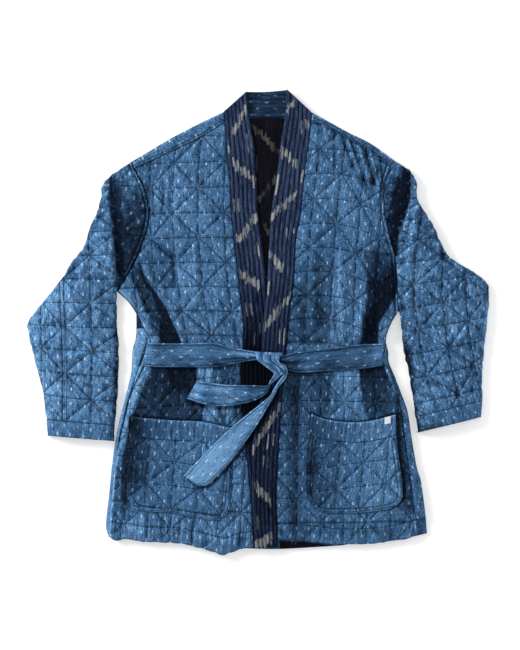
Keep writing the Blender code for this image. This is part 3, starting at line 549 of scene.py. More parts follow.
class Paint:
    def __init__(self, name):
        self.made = bpy.data.materials.new(name)
        self.made.use_nodes = True
        self.tree = self.made.node_tree
        self.surface = self.tree.nodes["Principled BSDF"]

    def node(self, kind, settings=None, inputs=None, out=0):
        made = self.tree.nodes.new(kind)
        for key, value in (settings or {}).items():
            if key == "stops":
                marks = made.color_ramp.elements
                while len(marks) < len(value):
                    marks.new(1.0)
                for mark, (at, colour) in zip(marks, value):
                    mark.position, mark.color = at, (*colour, 1)
            else:
                setattr(made, key, value)
        for key, value in (inputs or {}).items():
            if isinstance(value, Wire):
                self.tree.links.new(value.socket, made.inputs[key])
            else:
                made.inputs[key].default_value = value
        return Wire(self, made.outputs[out])

    def sum(self, kind, *terms):
        return self.node("ShaderNodeMath", {"operation": kind}, dict(enumerate(terms)))

    def mark(self, name):
        return self.node("ShaderNodeAttribute", {"attribute_name": name}, out="Fac")

    def parts(self, vector):
        split = self.node("ShaderNodeSeparateXYZ", inputs={0: vector})
        return split, Wire(self, split.socket.node.outputs[1])

    def place(self, x, y):
        return self.node("ShaderNodeCombineXYZ", inputs={0: x, 1: y})

    def cloth(self):  # metres along the cloth's own two ways
        return self.parts(self.node("ShaderNodeUVMap", {"uv_map": "cloth"}))

    def mottle(self, vector, scale, detail=2.0, rough=0.5):
        return self.node("ShaderNodeTexNoise", {"noise_dimensions": "3D"},
                         {"Vector": vector, "Scale": scale, "Detail": detail, "Roughness": rough})

    def ramp(self, value, stops):
        return self.node("ShaderNodeValToRGB", {"stops": stops}, {0: value})

    def mix(self, share, a, b):
        colour = lambda c: c if isinstance(c, Wire) else (*c, 1)
        return self.node("ShaderNodeMix", {"data_type": "RGBA"},
                         {0: share, 6: colour(a), 7: colour(b)}, out=2)

    def finish(self, colour, roughness, height, depth):
        links, s = self.tree.links, self.surface
        links.new(colour.socket, s.inputs["Base Color"])
        if isinstance(roughness, Wire):
            links.new(roughness.socket, s.inputs["Roughness"])
        else:
            s.inputs["Roughness"].default_value = roughness
        bump = self.node("ShaderNodeBump", inputs={"Strength": 1.0, "Distance": depth, "Height": height})
        links.new(bump.socket, s.inputs["Normal"])
        s.inputs["Specular IOR Level"].default_value = 0.06   # cloth hardly shines
        return self.made


def dashes(paint, u, v, look):  # short pale marks along v, in staggered columns
    lane = (u / look["across"] + 0.5).floor()
    place = v / look["along"] + lane.swing(1.0) * 0.5
    row = (place + 0.5).floor()
    seed = paint.node("ShaderNodeTexWhiteNoise", {"noise_dimensions": "2D"},
                      {"Vector": paint.place(lane + 0.5, row + 0.5)}, out=1)
    a, b = paint.parts(seed)
    side = abs(u - lane * look["across"] + (a - 0.5) * look["stray"][0])
    end = abs((place - row) * look["along"] + (b - 0.5) * look["stray"][1])
    size = 0.8 + a * 0.4
    spot = 1.0 - side.ramp(look["width"] * 0.3, look["width"] * 0.75)
    return spot * (1.0 - (end / size).ramp(look["length"] * 0.3, look["length"] * 0.62)) * (0.5 + b * 0.5)


def indigo(name, look):  # faded indigo cloth with its dashes, quilting rows and topstitching, coloured along a tone that carries painted light and shade
    p = Paint(name)
    u, v = p.cloth()
    flat = p.place(u, v)
    slub = p.mottle(p.place(u * 2.1, v * 0.42), 260.0, 2.0, 0.6)
    streak = p.mottle(p.place(u * 1.25, v * 0.3), 260.0, 1.0, 0.5)
    grain = p.mottle(flat, 480.0, 2.0, 0.65)
    crimp = p.mottle(p.place(u * 2.5, v * 0.16), 110.0, 1.0, 0.4)
    pull, tone = p.mark("pull"), p.mark("tone")
    rough = (slub - 0.5) * look["slub"] + (streak - 0.5) * look["streak"] + (grain - 0.5) * look["grain"]
    rough = rough + (crimp - 0.5) * pull * look["crimp"]
    shadingAndWear = tone + rough * (tone * 1.2 + 0.22).least(1.2)
    colour = p.ramp(shadingAndWear, look["dye"])
    pale = p.ramp(shadingAndWear, look["pale"])
    colour = p.mix(dashes(p, u, v, look["dash"]) * look["dash"]["strength"], colour, pale)
    q, r = u / (pitch * mm), v / (pitch * mm)
    even = (q + r).swing(1.0).least((q - r).swing(1.0)) * 0.86
    row = q.swing(0.5).least(r.swing(0.5) * 1.25).least(even) * (pitch * mm)
    sewn = (1.0 - row.ramp(*look["row"])) * p.mark("quilt")
    thread = 1.0 - abs(p.mark("stitch")).ramp(*look["line"])
    colour = p.mix((sewn * look["sewn"]).most(thread * look["stitch"]), colour, look["thread"])
    weave = p.node("ShaderNodeTexWave", {"bands_direction": "X"}, {"Vector": flat, "Scale": 240.0}, out=1)
    warp = p.node("ShaderNodeTexWave", {"bands_direction": "Y"}, {"Vector": flat, "Scale": 200.0}, out=1)
    height = weave * 0.10 + warp * 0.10 + slub * 0.6 + grain * 0.35 + streak * 0.5
    height = height + crimp * pull * 1.6 - sewn * 1.3 - thread * 1.3
    return p.finish(colour, look["rough"] - grain * 0.1, height, look["bump"])


def dyeSteps(tint, *levels):
    return [(at, tuple(c * tint for c in colour)) for at, colour in levels]


indigoLook = {
    # dye and pale: ground and dash colours along the tone, from painted shade at 0 to painted light and
    # fading at 1
    "dye": dyeSteps(1.0, (0.0, (0.0022, 0.005, 0.0125)), (0.25, (0.0108, 0.030, 0.067)),
                    (0.5, (0.0335, 0.0915, 0.186)), (0.75, (0.071, 0.178, 0.352)),
                    (1.0, (0.155, 0.325, 0.555))),
    "pale": dyeSteps(1.0, (0.0, (0.022, 0.036, 0.056)), (0.5, (0.30, 0.43, 0.585)),
                     (1.0, (0.58, 0.74, 0.92))),
    "thread": (0.003, 0.010, 0.026), "stitch": 0.6, "sewn": 0.58,
    "row": (0.0001, 0.0011), "line": (0.35, 1.1),   # where a row of quilting, m, and stitching, mm, fade
    "slub": 0.74, "streak": 0.34, "grain": 1.62, "crimp": 1.5, "rough": 0.92, "bump": 0.0008,
    # metres: spacing, size and how far they stray from it
    "dash": {"across": 0.0105, "along": 0.027, "width": 0.0021, "length": 0.0056,
             "stray": (0.0016, 0.0036), "strength": 0.86},
}
sashLook = {**indigoLook,
            "slub": 0.7, "streak": 0.5, "grain": 1.0, "stitch": 0.45,
            "dash": {**indigoLook["dash"], "across": 0.0115, "along": 0.031, "length": 0.0052}}


def kasuri(name, look):  # navy band with off-white resist-dyed strands
    p = Paint(name)
    u, v = p.cloth()
    flat = p.place(u, v)
    strand = p.mottle(p.place(u * 3.0, v * 0.3), 220.0, 2.0, 0.6)
    grain = p.mottle(flat, 430.0, 2.0, 0.6)
    shadingAndWear = p.mark("tone") + (strand - 0.5) * 1.1 + (grain - 0.5) * 0.7
    colour = p.ramp(shadingAndWear, look["dye"])
    white = p.ramp(shadingAndWear, look["white"])
    mask = (p.mark("kasuri") + (strand - 0.5) * 0.9).ramp(0.30, 0.85)
    colour = p.mix(mask * look["strength"], colour, white)
    return p.finish(colour, 0.9, strand * 0.6 + grain * 0.3, 0.0006)


bandLook = {
    # along the tone, from painted shade at 0 to painted light at 1
    "dye": dyeSteps(0.60, (0.0, (0.002, 0.003, 0.007)), (0.3, (0.006, 0.010, 0.028)),
                    (0.6, (0.018, 0.032, 0.084)), (1.0, (0.080, 0.125, 0.24))),
    "white": dyeSteps(0.80, (0.0, (0.04, 0.042, 0.045)), (0.45, (0.17, 0.180, 0.188)),
                      (1.0, (0.44, 0.46, 0.47))),
    "strength": 0.95,
}
liningLook = {
    "dye": dyeSteps(1.0, (0.0, (0.001, 0.001, 0.002)), (0.5, (0.0032, 0.0034, 0.0065)),
                    (1.0, (0.010, 0.011, 0.019))),
    "white": dyeSteps(1.05, (0.0, (0.015, 0.013, 0.011)), (0.5, (0.050, 0.045, 0.038)),
                      (1.0, (0.12, 0.11, 0.10))),
    "strength": 0.9,
}


def plainTape(name):
    p = Paint(name)
    where = p.node("ShaderNodeTexCoord", out="Object")
    weft = p.node("ShaderNodeTexWave", {"bands_direction": "Y"}, {"Vector": where, "Scale": 420.0}, out=1)
    soft = p.mottle(where, 300.0)
    colour = p.ramp(soft, [(0.2, (0.64, 0.68, 0.74)), (0.8, (0.84, 0.89, 0.96))])
    return p.finish(colour, 0.8, weft * 0.6 + soft * 0.4, 0.0003)


indigoPaint = indigo("indigo_quilt", indigoLook)
sashPaint = indigo("belt_cloth", sashLook)
bandPaint = kasuri("kasuri_band", bandLook)
liningPaint = kasuri("kasuri_lining", liningLook)
labelPaint = plainTape("blank_label")
print("paints made")

# fronts
# seed: noise of the quilting; gather: noise and size of the hem's puckers; pull: how far they show
# tone: how pale the cloth is, and after it how uneven its wear, painted light and shade are; sharp: how
# strongly the painted light and shade show where it turns round to the back
# pocketShade: width and amount of the shade beside the pocket
# tuck: x and y of its top, its lean, y of its foot, how much of the quilting it hides
# rows, skirtRows: where rows of quilting cross: x, y, number of the row across, number of the row up
# folds, creases: from x, y to x, y, half width, height; the creases are ones that only the cloth shows
# then broad painted light and shade, the same columns with an amount
# veils: painted shade in hollows of the cloth, less than 0 for a painted highlight along a ridge. Rows down
# each one:
# y, left edge, its softness, right edge, its softness, amount
frontLook = {
    "right": {
        "seed": 21, "gather": (44, 1.0), "pull": 1.0,
        "tone": 0.56, "shadingAndWear": 0.88, "sharp": 1.0, "pocketShade": (1.6, 0.32),
        "rows": (
            (-98, 224, 0, 0), (-139, 262, -1, 1), (-54, 264, 1, 1), (-142, 180, -1, -1), (-56, 182, 1, -1),
            (-100, 140, 0, -2), (-136, 99, -1, -3), (-57, 97, 1, -3), (-170, 58, -2, -4), (-89, 55, 0, -4),
            (-127, 16, -1, -5), (-42, 18, 1, -5), (-79, -19, 0, -6), (-175, 138, -2, -2), (-180, 218, -2, 0),
        ),
        "skirtRows": (
            (-128, -97, 0, 0), (-132, -137, 0, -1), (-93, -137, 1, -1), (-142, -337, 0, -6),
            (-70, -357, 2, -6), (-29, -312, 3, -5), (-224, -336, -2, -6),
        ),
        "folds": (
            (-186, 89, -130, -31, 14, 9), (-203, 79, -152, -31, 13, -4), (-222, 44, -183, -23, 12, 5),
            (-140, -84, -153, -146, 24, -4), (-82, -80, -74, -150, 17, 6), (-193, -86, -216, -170, 10, 6),
            (-80, -330, -60, -376, 20, 6), (-226, -194, -232, -318, 8, -3),
        ),
        "creases": (
            (-162, 60, -118, -28, 5, 3), (-200, 60, -168, -20, 6, -3), (-106, 150, -104, 30, 7, 2),
            (-70, 60, -66, -28, 8, 2), (-150, 236, -138, 190, 5, 1.6), (-88, -84, -92, -140, 5, -2.5),
            (-66, -84, -58, -150, 6, 2.5), (-112, -86, -98, -150, 6, 2.5), (-236, -200, -240, -300, 3, 3),
            (-134, -328, -128, -372, 8, 2), (-190, -326, -186, -360, 10, 2), (-60, 250, -58, 120, 5, 1.5),
            (-187, 226, -184, 180, 4, 2), (-175, 232, -173, 176, 4, -2.5), (-166, 232, -164, 178, 4, 2.5),
            (-157, 230, -158, 186, 4, -2.5), (-145, 238, -146, 190, 4, -2), (-137, 232, -136, 176, 4, 2),
            (-172, 131, -143, 108, 9, -3.5), (-142, 108, -139, 58, 6, -3.5), (-133, 104, -131, 66, 5, 2.5),
        ),
        "paintedShading": (
            (-150, 236, -110, 180, 36, 0.10), (-130, 120, -120, 40, 40, 0.06),
            (-60, 20, -60, -30, 26, -0.08), (-120, -340, -60, -350, 24, 0.06),
            (-34, -230, -32, -350, 11, 0.12), (-60, -332, -50, -350, 20, 0.08),
            (-200, -330, -215, -350, 16, 0.10),
        ),
        "veils": (
            ((97, -199, 3, -194, 1.6, 0.5), (72, -193, 4, -187, 1.6, 0.8), (51, -179, 5, -171, 1.6, 0.9),
             (30, -168, 5, -156, 1.6, 0.95), (8, -160, 5, -145, 1.6, 0.95), (-13, -162, 5, -136, 1.6, 0.95),
             (-38, -161, 5, -125, 1.6, 0.95)),
            ((109, -212, 6, -194, 3, 0), (97, -210, 8, -194, 1.6, 0.4), (72, -208, 9, -187, 1.6, 0.6),
             (51, -200, 9, -171, 1.6, 0.6), (30, -190, 8, -156, 1.6, 0.55), (8, -178, 6, -145, 1.6, 0.5),
             (-13, -169, 5, -136, 1.6, 0.45), (-38, -162, 5, -125, 1.6, 0.4)),
            ((66, -238, 3, -208, 9, -0.1), (51, -229, 3, -202, 9, -0.24), (30, -214, 3, -191, 7, -0.26),
             (8, -202, 3, -179, 6, -0.26), (-13, -188, 3, -169, 5, -0.26), (-38, -178, 3, -163, 4, -0.26)),
            ((-69, -176, 8.2, -103, 3.3, 0.98), (-82, -178, 8.2, -103, 3.3, 0.9),
             (-104, -188, 8.2, -102, 4.9, 0.8), (-125, -197, 8.2, -101, 6.6, 0.7),
             (-148, -206, 6.6, -95, 6.6, 0.68), (-168, -211, 6.6, -92, 6.6, 0.68)),
            ((-69, -150, 16.5, -102, 3.3, 0.4), (-109, -143, 16.5, -103, 6.6, 0.35),
             (-122, -143, 16.5, -103, 6.6, 0)),
            ((-69, -79, 4.9, -23, 4.9, 0.35), (-105, -75, 4.9, -23, 4.9, 0.4)),
            ((-132, -70, 3.3, -62, 3.3, 0.4), (-168, -60, 3.3, -54, 3.3, 0.4)),
            ((-132, -42, 4.9, -14, 4.9, 0.5), (-168, -37, 4.9, -14, 4.9, 0.5)),
            ((-168, -212, 3.3, -192, 3.3, 0.6), (-203, -219, 3.3, -196, 3.3, 0.82),
             (-222, -225, 3.3, -207, 3.3, 0.88), (-260, -227, 3.3, -209, 3.3, 0.85),
             (-290, -228, 4.1, -211, 4.1, 0.7), (-312, -228, 4.9, -212, 4.9, 0.35),
             (-330, -228, 6.6, -212, 6.6, 0)),
            ((284, -179, 16.5, -136, 16.5, 0), (259, -199, 13.2, -136, 16.5, 0.22),
             (231, -199, 13.2, -150, 23.1, 0.1), (202, -199, 13.2, -150, 23.1, 0)),
            ((131, -196, 13.2, -155, 16.5, 0), (106, -196, 13.2, -143, 16.5, 0.25),
             (61, -189, 8.2, -133, 9.9, 0.25), (50, -179, 8.2, -133, 9.9, 0)),
            ((-69, -194, 4.9, -178, 6.6, -0.35), (-128, -213, 4.9, -198, 6.6, -0.42),
             (-178, -225, 3.3, -216, 4.9, -0.35), (-219, -231, 3.3, -225, 4.9, 0)),
            ((99, -136, 6.6, -110, 9.9, 0), (83, -135, 6.6, -110, 9.9, -0.15),
             (63, -131, 6.6, -113, 9.9, 0)),
            ((-69, -101, 3.3, -77, 4.9, -0.36), (-102, -98, 4.9, -77, 4.9, -0.32)),
            ((-130, -92, 4.9, -70, 3.3, -0.25), (-166, -84, 4.9, -66, 3.3, -0.3)),
            ((-140, -61, 2, -50, 2.5, -0.3), (-168, -58, 2, -50, 2.5, -0.3)),
        ),
    },
    "left": {
        "seed": 31, "gather": (45, 0.6), "pull": 0.45,
        "tone": 0.56, "shadingAndWear": 0.72, "sharp": 0.4, "pocketShade": (5.0, 0.8),
        "tuck": (166, -69, 0.12, -163, 0.65),
        "rows": (
            (129, 159, 0, 0), (91, 204, -1, 1), (174, 194, 1, 1), (138, 242, 0, 2), (100, 287, -1, 3),
            (174, 275, 1, 3), (82, 121, -1, -1), (158, 115, 1, -1), (119, 85, 0, -2), (78, 45, -1, -3),
            (158, 32, 1, -3), (78, -32, -1, -5),
        ),
        "skirtRows": (
            (65, -89, -2, 1), (105, -89, -1, 1), (139, -131, 0, 0), (177, -339, 1, -5), (259, -324, 3, -5),
            (65, -286, -2, -4),
        ),
        "folds": (
            (177, 61, 159, -31, 13, 7), (200, 28, 182, -31, 10, -4), (219, 2, 204, -28, 9, 5),
            (146, -84, 144, -150, 17, 6), (183, -84, 203, -144, 16, -4), (216, -98, 230, -160, 9, 5),
            (241, -170, 250, -313, 8, -3), (111, 43, 119, -33, 14, 3), (194, 268, 174, 221, 9, 3),
            (203, 244, 192, 195, 8, 3),
        ),
        "creases": (
            (106, 330, 114, 297, 4, 3), (124, 320, 126, 252, 4, -3.5), (143, 308, 170, 245, 4, 4),
            (152, 298, 176, 226, 3.5, -5), (166, 290, 184, 222, 4, 4.5), (184, 283, 199, 218, 3.5, 4.5),
            (176, 284, 190, 228, 3, -5), (100, 315, 96, 250, 4, -2), (158, 240, 182, 196, 5, 3),
            (168, 117, 224, 110, 4, -2.5), (200, 276, 205, 226, 3, -5), (134, 314, 158, 250, 3, -3.5),
            (99, 140, 102, 0, 16, -3), (70, 60, 74, -30, 10, -2), (134, 110, 138, -28, 9, 3),
            (168, 30, 171, -30, 5, 2.5), (121, -86, 112, -150, 8, -3), (166, -86, 160, -150, 5, 2),
            (100, -330, 104, -366, 9, 2), (180, -326, 190, -366, 10, 2), (60, -110, 58, -340, 16, -3),
            (246, -200, 256, -300, 3, 3),
        ),
        "paintedShading": (
            (130, 220, 160, 150, 30, 0.08), (200, 120, 190, 60, 26, -0.15), (94, 300, 90, 200, 12, 0.10),
            (80, -340, 220, -345, 20, -0.10), (196, 250, 176, 226, 16, -0.2),
        ),
        "veils": (
            ((119, 35, 1.6, 123, 9.9, 0), (93, 35, 1.6, 124, 2.5, 0.18), (50, 35, 1.6, 120, 2, 0.3),
             (0, 35, 1.6, 117, 2, 0.34), (-38, 35, 1.6, 113, 2, 0.36)),
            ((-69, 19, 1.6, 118, 13.2, 0.5), (-148, 19, 1.6, 114, 13.2, 0.42),
             (-194, 19, 1.6, 78, 9.9, 0.27), (-376, 19, 1.6, 76, 16.5, 0.24)),
            ((-69, 134, 16.5, 166, 1.6, -0.22), (-137, 138, 14.8, 169, 3.3, -0.17),
             (-161, 141, 14.8, 177, 6.6, -0.1)),
            ((-69, 166, 2, 205, 3.3, 1.1), (-89, 167, 2, 213, 3.3, 0.9), (-112, 168, 2.5, 222, 4.9, 0.65),
             (-132, 172, 4.9, 232, 4.9, 0.55), (-161, 182, 4.9, 235, 4.9, 0.5)),
            ((122, 158, 24, 228, 3, 0), (112, 166, 24, 228, 3, 0.3), (100, 172, 20, 228, 3, 0.45),
             (76, 178, 16, 229, 3, 0.6), (46, 179, 8, 229, 3, 0.72), (33, 178, 6, 220, 4, 0.78),
             (13, 174, 4, 208, 5, 0.82), (-2, 170, 3, 198, 4, 0.88), (-38, 168, 2, 196, 3, 0.95)),
            ((106, 218, 14, 228, 3, 0), (92, 213, 20, 228, 3, 0.3), (73, 207, 24, 229, 3, 0.55),
             (50, 198, 24, 229, 3, 0.6), (33, 190, 18, 220, 4, 0.5), (13, 182, 10, 206, 6, 0.45),
             (-2, 176, 6, 198, 4, 0.5), (-38, 170, 4, 196, 3, 0.6)),
            ((-148, 228, 3.3, 247, 4.9, 0.7), (-194, 230, 3.3, 252, 4.9, 0.85),
             (-252, 236, 3.3, 257, 6.6, 0.8), (-302, 238, 4.9, 256, 6.6, 0.55),
             (-326, 238, 4.9, 253, 6.6, 0)),
            ((99, 124, 3.3, 141, 9.9, 0), (78, 123, 2.5, 141, 13.2, -0.14),
             (-38, 114, 2.5, 138, 16.5, -0.1)),
            ((-160, 234, 2, 239, 2, -0.2), (-194, 238, 2, 243.5, 2, -0.5), (-252, 243, 2, 248.5, 2, -0.5),
             (-302, 245, 2, 250, 2, -0.3)),
        ),
    },
}


def frontOutline(side, step=3.0, armStep=3.0, low=-400):  # low: where the seam to the collar ends
    own = cut[side]
    seam = smooth([r[2:] for r in own["collar"][1:]], step)
    hem = backwards(own["hem"], step) if side == "right" else smooth(own["hem"][:-1], step)
    return outline(
        (seam[seam[:, 1] > low], 0), (hem, 4), (backwards(own["sideSeam"], step), 2),
        (backwards(own["underarm"], step), 4), (backwards(own["armhole"][1:], armStep), 0),
        (backwards(own["shoulderSeam"], step), 0),
    )


fronts = {"right": frontOutline("right"), "left": frontOutline("left", low=-352)}
coarse = {side: frontOutline(side, 13, 10)[0] for side in fronts}   # fewer points, for depth
swellReach = 55.0         # from its edges to where a front has its full swell
pockets = {
    side: outline((smooth(own["pocket"][:5]), 3), (smooth(own["pocket"][4:] + own["pocket"][:1]), 3))
    for side, own in cut.items()
}
lines = {
    side: {"hem": smooth(own["hem"], 8), "side": smooth(own["sideSeam"], 8),
           "arm": smooth(own["armhole"], 6), "shoulder": smooth(own["shoulderSeam"], 6),
           "mouth": smooth(own["pocket"][:5], 5), "free": smooth([r[:2] for r in own["collar"]], 22)}
    for side, own in cut.items()
}
sewnLines = {
    # seam that is topstitched, distance of its stitching
    "right": ((lines["right"]["shoulder"], 0.6),),
    "left": ((smooth(left["armhole"][1:], 6), 5.8), (lines["left"]["shoulder"], 3.4)),
}
quiltOf = {
    "right": parted(fitted(frontLook["right"]["rows"], 6), fitted(frontLook["right"]["skirtRows"], 4)),
    "left": parted(fitted(frontLook["left"]["rows"], 6),
                   tucked(fitted(frontLook["left"]["skirtRows"], 4), *frontLook["left"]["tuck"])),
}
hemLine, hemPlain, hemPucker = 27.0, 24.0, 22.0   # from the hem: stitching, end of quilting, puckers
beltLine = np.array([(-190, -54), (0, -56), (60, -66), (205, -54)], float)
beltEdge = np.array([(-192, -73), (-60, -75), (-5, -66), (50, -82), (70, -84), (204, -74)], float)
sideGroove = smooth(((-187, -60), (-190, -75), (-200, -94), (-211, -118), (-218.5, -145), (-224, -170),
                     (-230, -193), (-233.6, -212), (-238.5, -237), (-242, -258), (-245, -285)), 8)
shadowLines = (
    # painted shadow under the belt's tails: line, half width, amount
    (smooth(((33, -110), (30, -119), (19, -140), (-1, -174), (-32, -217), (-58, -248), (-83, -271),
             (-101, -272)), 6), 2.6, 0.9),
    (smooth(((19, -110), (12, -121), (-4, -131), (-24, -138), (-54, -142), (-84, -140),
             (-118, -129)), 6), 2.4, 0.6),
    # painted shadow in the slot that the belt comes out of
    (smooth(((-184.5, -26), (-190, -46), (-197.5, -72)), 6), 2.0, 1.1),
)


def beltClear(p):  # 0 under the belt, 1 well away from it
    return unit((far(p, beltLine) - 24) / 12)


def pressed(p, least):  # share of a height that the belt leaves
    return least + (1 - least) * beltClear(p)


def frontSwell(side, p):
    swell = level["swell"] * np.sin(np.pi / 2 * unit(depth(p, coarse[side]) / swellReach))
    return swell + folded(p, frontLook[side]["folds"])


def frontFoot(side):
    return lambda p: level["front"] + np.clip(
        frontSwell(side, p) * pressed(p, 0.35) - 1.5, 0, level["air"])


def frontBase(side, p):
    rise = frontSwell(side, p) + folded(p, frontLook[side]["creases"])
    hollow = np.clip(veiled(p, frontLook[side]["veils"]), -0.3, 1.1)
    return level["front"] + level["wall"] + rise * pressed(p, 0.35) - 1.6 * hollow


def nearer(a, b):  # of two rows of stitching
    return np.where(np.abs(a) < np.abs(b), a, b)


def topstitch(p, rows):  # seams with a row of stitching beside them: relief, mark, and a painted highlight on the ridge between them with painted shade past the stitching
    z, mark, shadingAndWear = np.zeros(len(p)), np.full(len(p), unsewn), np.zeros(len(p))
    for line, at in rows:
        d = far(p, line)
        z += ridge(d, at * 0.5, at * 0.35, 1.1) + ridge(d, at, 0.9, -1.1) + ridge(d, 0, 1.0, -1.2)
        shadingAndWear += ridge(d, at * 0.5, at * 0.28, 0.30) + ridge(d, at + 0.8, 1.6, -0.2)
        mark = nearer(d - 0.4, nearer(d - at, mark))
    return z, mark, shadingAndWear


def castShade(p):
    return sum(ridge(far(p, line), 0, half, amount) for line, half, amount in shadowLines)


def grooveAt(p):  # painted shade of the fold down the side below the belt, with a painted lit strip on each side
    d = far(p, sideGroove)
    return ridge(d, 4.2, 2.2, 0.2) - ridge(d, 0, 1.4, 0.9)


def sideEdge(p, side):  # painted light and shade where the front turns round to the back, sharp near the belt; on the right front also a painted dark line along the armhole
    d = far(p, lines[side]["side"])
    sharp = unit((p[:, 1] + 300) / 140) * frontLook[side]["sharp"]
    turn = sharp * (ridge(d, 3.0, 1.6, 0.28) - ridge(d, 0, 1.2, 0.5))
    if side == "right":
        above = unit((p[:, 1] + 75) / 15)
        turn = turn * above + ridge(d, 1.0, 1.9, 0.42) * (1 - above) + grooveAt(p)
        turn = turn - ridge(far(p, lines[side]["arm"]), 0.6, 1.5, 0.5)
    return turn


def hemGather(p, side):  # upright puckers at a hem, and distance to it
    d = far(p, lines[side]["hem"])
    seed, size = frontLook[side]["gather"]
    pull = noise(p, seed, (3.2, 45.0)) + 0.5 * noise(p, 46, (6.0, 40.0))
    return ridge(d, hemPucker, 17, pull * size), d


def pocketShade(p, side):  # painted shadow in the mouth of the pocket, and painted shade to the right of it and below
    reach, dark = frontLook[side]["pocketShade"]
    shade = unit(depth(p + (-reach, 0.4), pockets[side][0][::2]) / 2.0 + 0.5) * dark
    half = 3.0 + 2.6 * unit((-160 - p[:, 0]) / 50)
    return shade + ridge(far(p, lines[side]["mouth"]), 0, half, 0.8)


def frontTop(side):
    loop, rims = fronts[side]
    foot = frontFoot(side)

    def top(p):
        relief, _ = quilted(onCloth(p, quiltOf[side]), frontLook[side]["seed"])
        away = unit(-depth(p, pockets[side][0][::3]) / 6)
        pull, d = hemGather(p, side)
        z = frontBase(side, p) + relief * (0.15 + 0.85 * away * pressed(p, 0.3))
        z += topstitch(p, sewnLines[side])[0] + 0.8 * pull + ridge(d, hemLine, 1.0, -1.2)
        return edged(z, foot(p), p, loop[::2], rims[::2])

    return top


def frontMarks(side):
    look, sewn, hem = frontLook[side], sewnLines[side], lines[side]["hem"]

    def tone(q):
        p = q[:, :2]
        shadingAndWear = quilted(onCloth(p, quiltOf[side]), look["seed"])[1]
        shadingAndWear = shadingAndWear * np.interp(p[:, 1], (-110, -60), (0.6, look["shadingAndWear"]))
        # painted shade: hollows, the pocket's mouth and side, the tails' shadows and the shadow along the
        # belt's lower edge
        shade = veiled(p, look["veils"]) + pocketShade(p, side) + castShade(p)
        shade = shade + ridge(far(p, beltEdge), 0, 4.0, 0.35)
        tone = look["tone"] + folded(p, look["paintedShading"]) - 0.5 * shade
        tone += shadingAndWear * np.clip(1.1 - 0.6 * shade, 0.35, 1.1)
        # raised folds, creases and hem puckers painted lighter; painted light and shade beside seams and
        # where it turns round to the back
        tone += folded(p, look["folds"]) * 0.015 + folded(p, look["creases"]) * 0.055
        tone += topstitch(p, sewn)[2] + 0.1 * hemGather(p, side)[0] + sideEdge(p, side)
        return np.clip(tone, 0.01, 1.15)

    return {
        "tone": tone,
        "quilt": lambda q: unit((far(q, hem) - hemPlain) / 3),
        "stitch": lambda q: nearer(1.6 * (far(q, hem) - hemLine), topstitch(q, sewn)[1]),
        "pull": lambda q: ridge(far(q, hem), hemPucker, 15, look["pull"]),
    }


def clothAt(quilt):
    return lambda q: onCloth(q, quilt) * pitch


for side, (loop, rims) in fronts.items():
    body = shell(ruffled(loop, rims, quiltOf[side]), rims, frontTop(side), frontFoot(side))
    piece(f"front_{side}", [body], indigoPaint, clothAt(quiltOf[side]), frontMarks(side))

# back
backLook = {
    "seed": 41, "tuck": level["back"] - 2,
    "shoulders": (0.58, 0.56), "sides": (0.92, 0.48),   # tone of its rolls, right and left; the side rolls are painted lit on the right and in shade on the left
    # slot: painted shade in the gap near the belt's slot; turn: tone of the back at its lower right side;
    # slab: elsewhere
    "slot": 0.26, "turn": 0.82, "slab": 0.48,
}
backLoop, backRims = outline(
    (smooth(neckBack), 0), (smooth(left["shoulderEdge"]), 4), (smooth(left["armhole"]), 0),
    (smooth(left["underarm"]), 4), (smooth(left["backSide"]), 4), (backwards(hemBack), 4),
    (backwards(right["backSide"]), 4), (backwards(right["underarm"][:3]), 4),
    (backwards(right["armhole"]), 0), (backwards(right["shoulderEdge"]), 4),
)
rolls = (
    # where it turns round to the front: seam, outer edge
    (right["shoulderSeam"], right["shoulderEdge"]),
    (left["shoulderSeam"], left["shoulderEdge"]),
    (right["underarm"][3:] + right["sideSeam"][1:-4], right["backSide"][1:-5]),
    (left["sideSeam"][4:-1], left["backSide"][4:-1]),
)


def roll(seam, edge):
    inner = smooth(seam)
    loop, rims = outline((inner, 0), (backwards(edge), 4))

    def top(p):
        relief, _ = quilted(onCloth(p, quiltOf["right"]), backLook["seed"])
        z = level["roll"] - 0.6 + 0.35 * relief + ridge(far(p, inner), 4.0, 0.9, -0.9)
        return edged(z, backLook["tuck"], p, loop, rims)

    return shell(ruffled(loop, rims, quiltOf["right"], 0.1), rims, top, even(backLook["tuck"]), low=0)


def backTone(q):
    p = q[:, :2]
    onRight, turn = p[:, 0] < 0, (p[:, 0] < -190) & (p[:, 1] < -40)
    shoulder, side = (np.where(onRight, *backLook[key]) for key in ("shoulders", "sides"))
    # painted highlight along its edges, doubled at the lower right side; painted shade of the side fold and
    # of the shadow lines
    edge = ridge(far(p, closed(backLoop, 3)), 1.0, 2.2, 0.18) * np.where(turn, 2.0, 1.0)
    edge = edge + np.where(onRight, grooveAt(p), 0)
    slab = np.where(turn, backLook["turn"] + edge, backLook["slab"])
    slab = np.where((p[:, 0] < -150) & (p[:, 1] > -60), backLook["slot"], slab)
    tone = np.where(q[:, 2] > 7, np.where(p[:, 1] > 180, shoulder, side) + edge, slab)
    shadingAndWear = quilted(onCloth(p, quiltOf["right"]), backLook["seed"])[1]
    return np.clip(0.6 * shadingAndWear + tone - 0.5 * castShade(p), 0.02, 1)


backSlab = shell(inset(backLoop, -0.1), backRims, even(level["back"]), even(0.0), step=hiddenStep)
piece(
    "back", [backSlab] + [roll(seam, edge) for seam, edge in rolls], indigoPaint,
    lambda q: onCloth(q[:, :2] @ np.array([(0.85, -0.53), (0.53, 0.85)]), quiltOf["right"]) * pitch,
    {
        "tone": backTone,
        "quilt": lambda q: (q[:, 2] < 2).astype(float),
        "stitch": lambda q: np.min([far(q, lines[side]["shoulder"]) for side in lines], axis=0) - 4.0,
    },
)

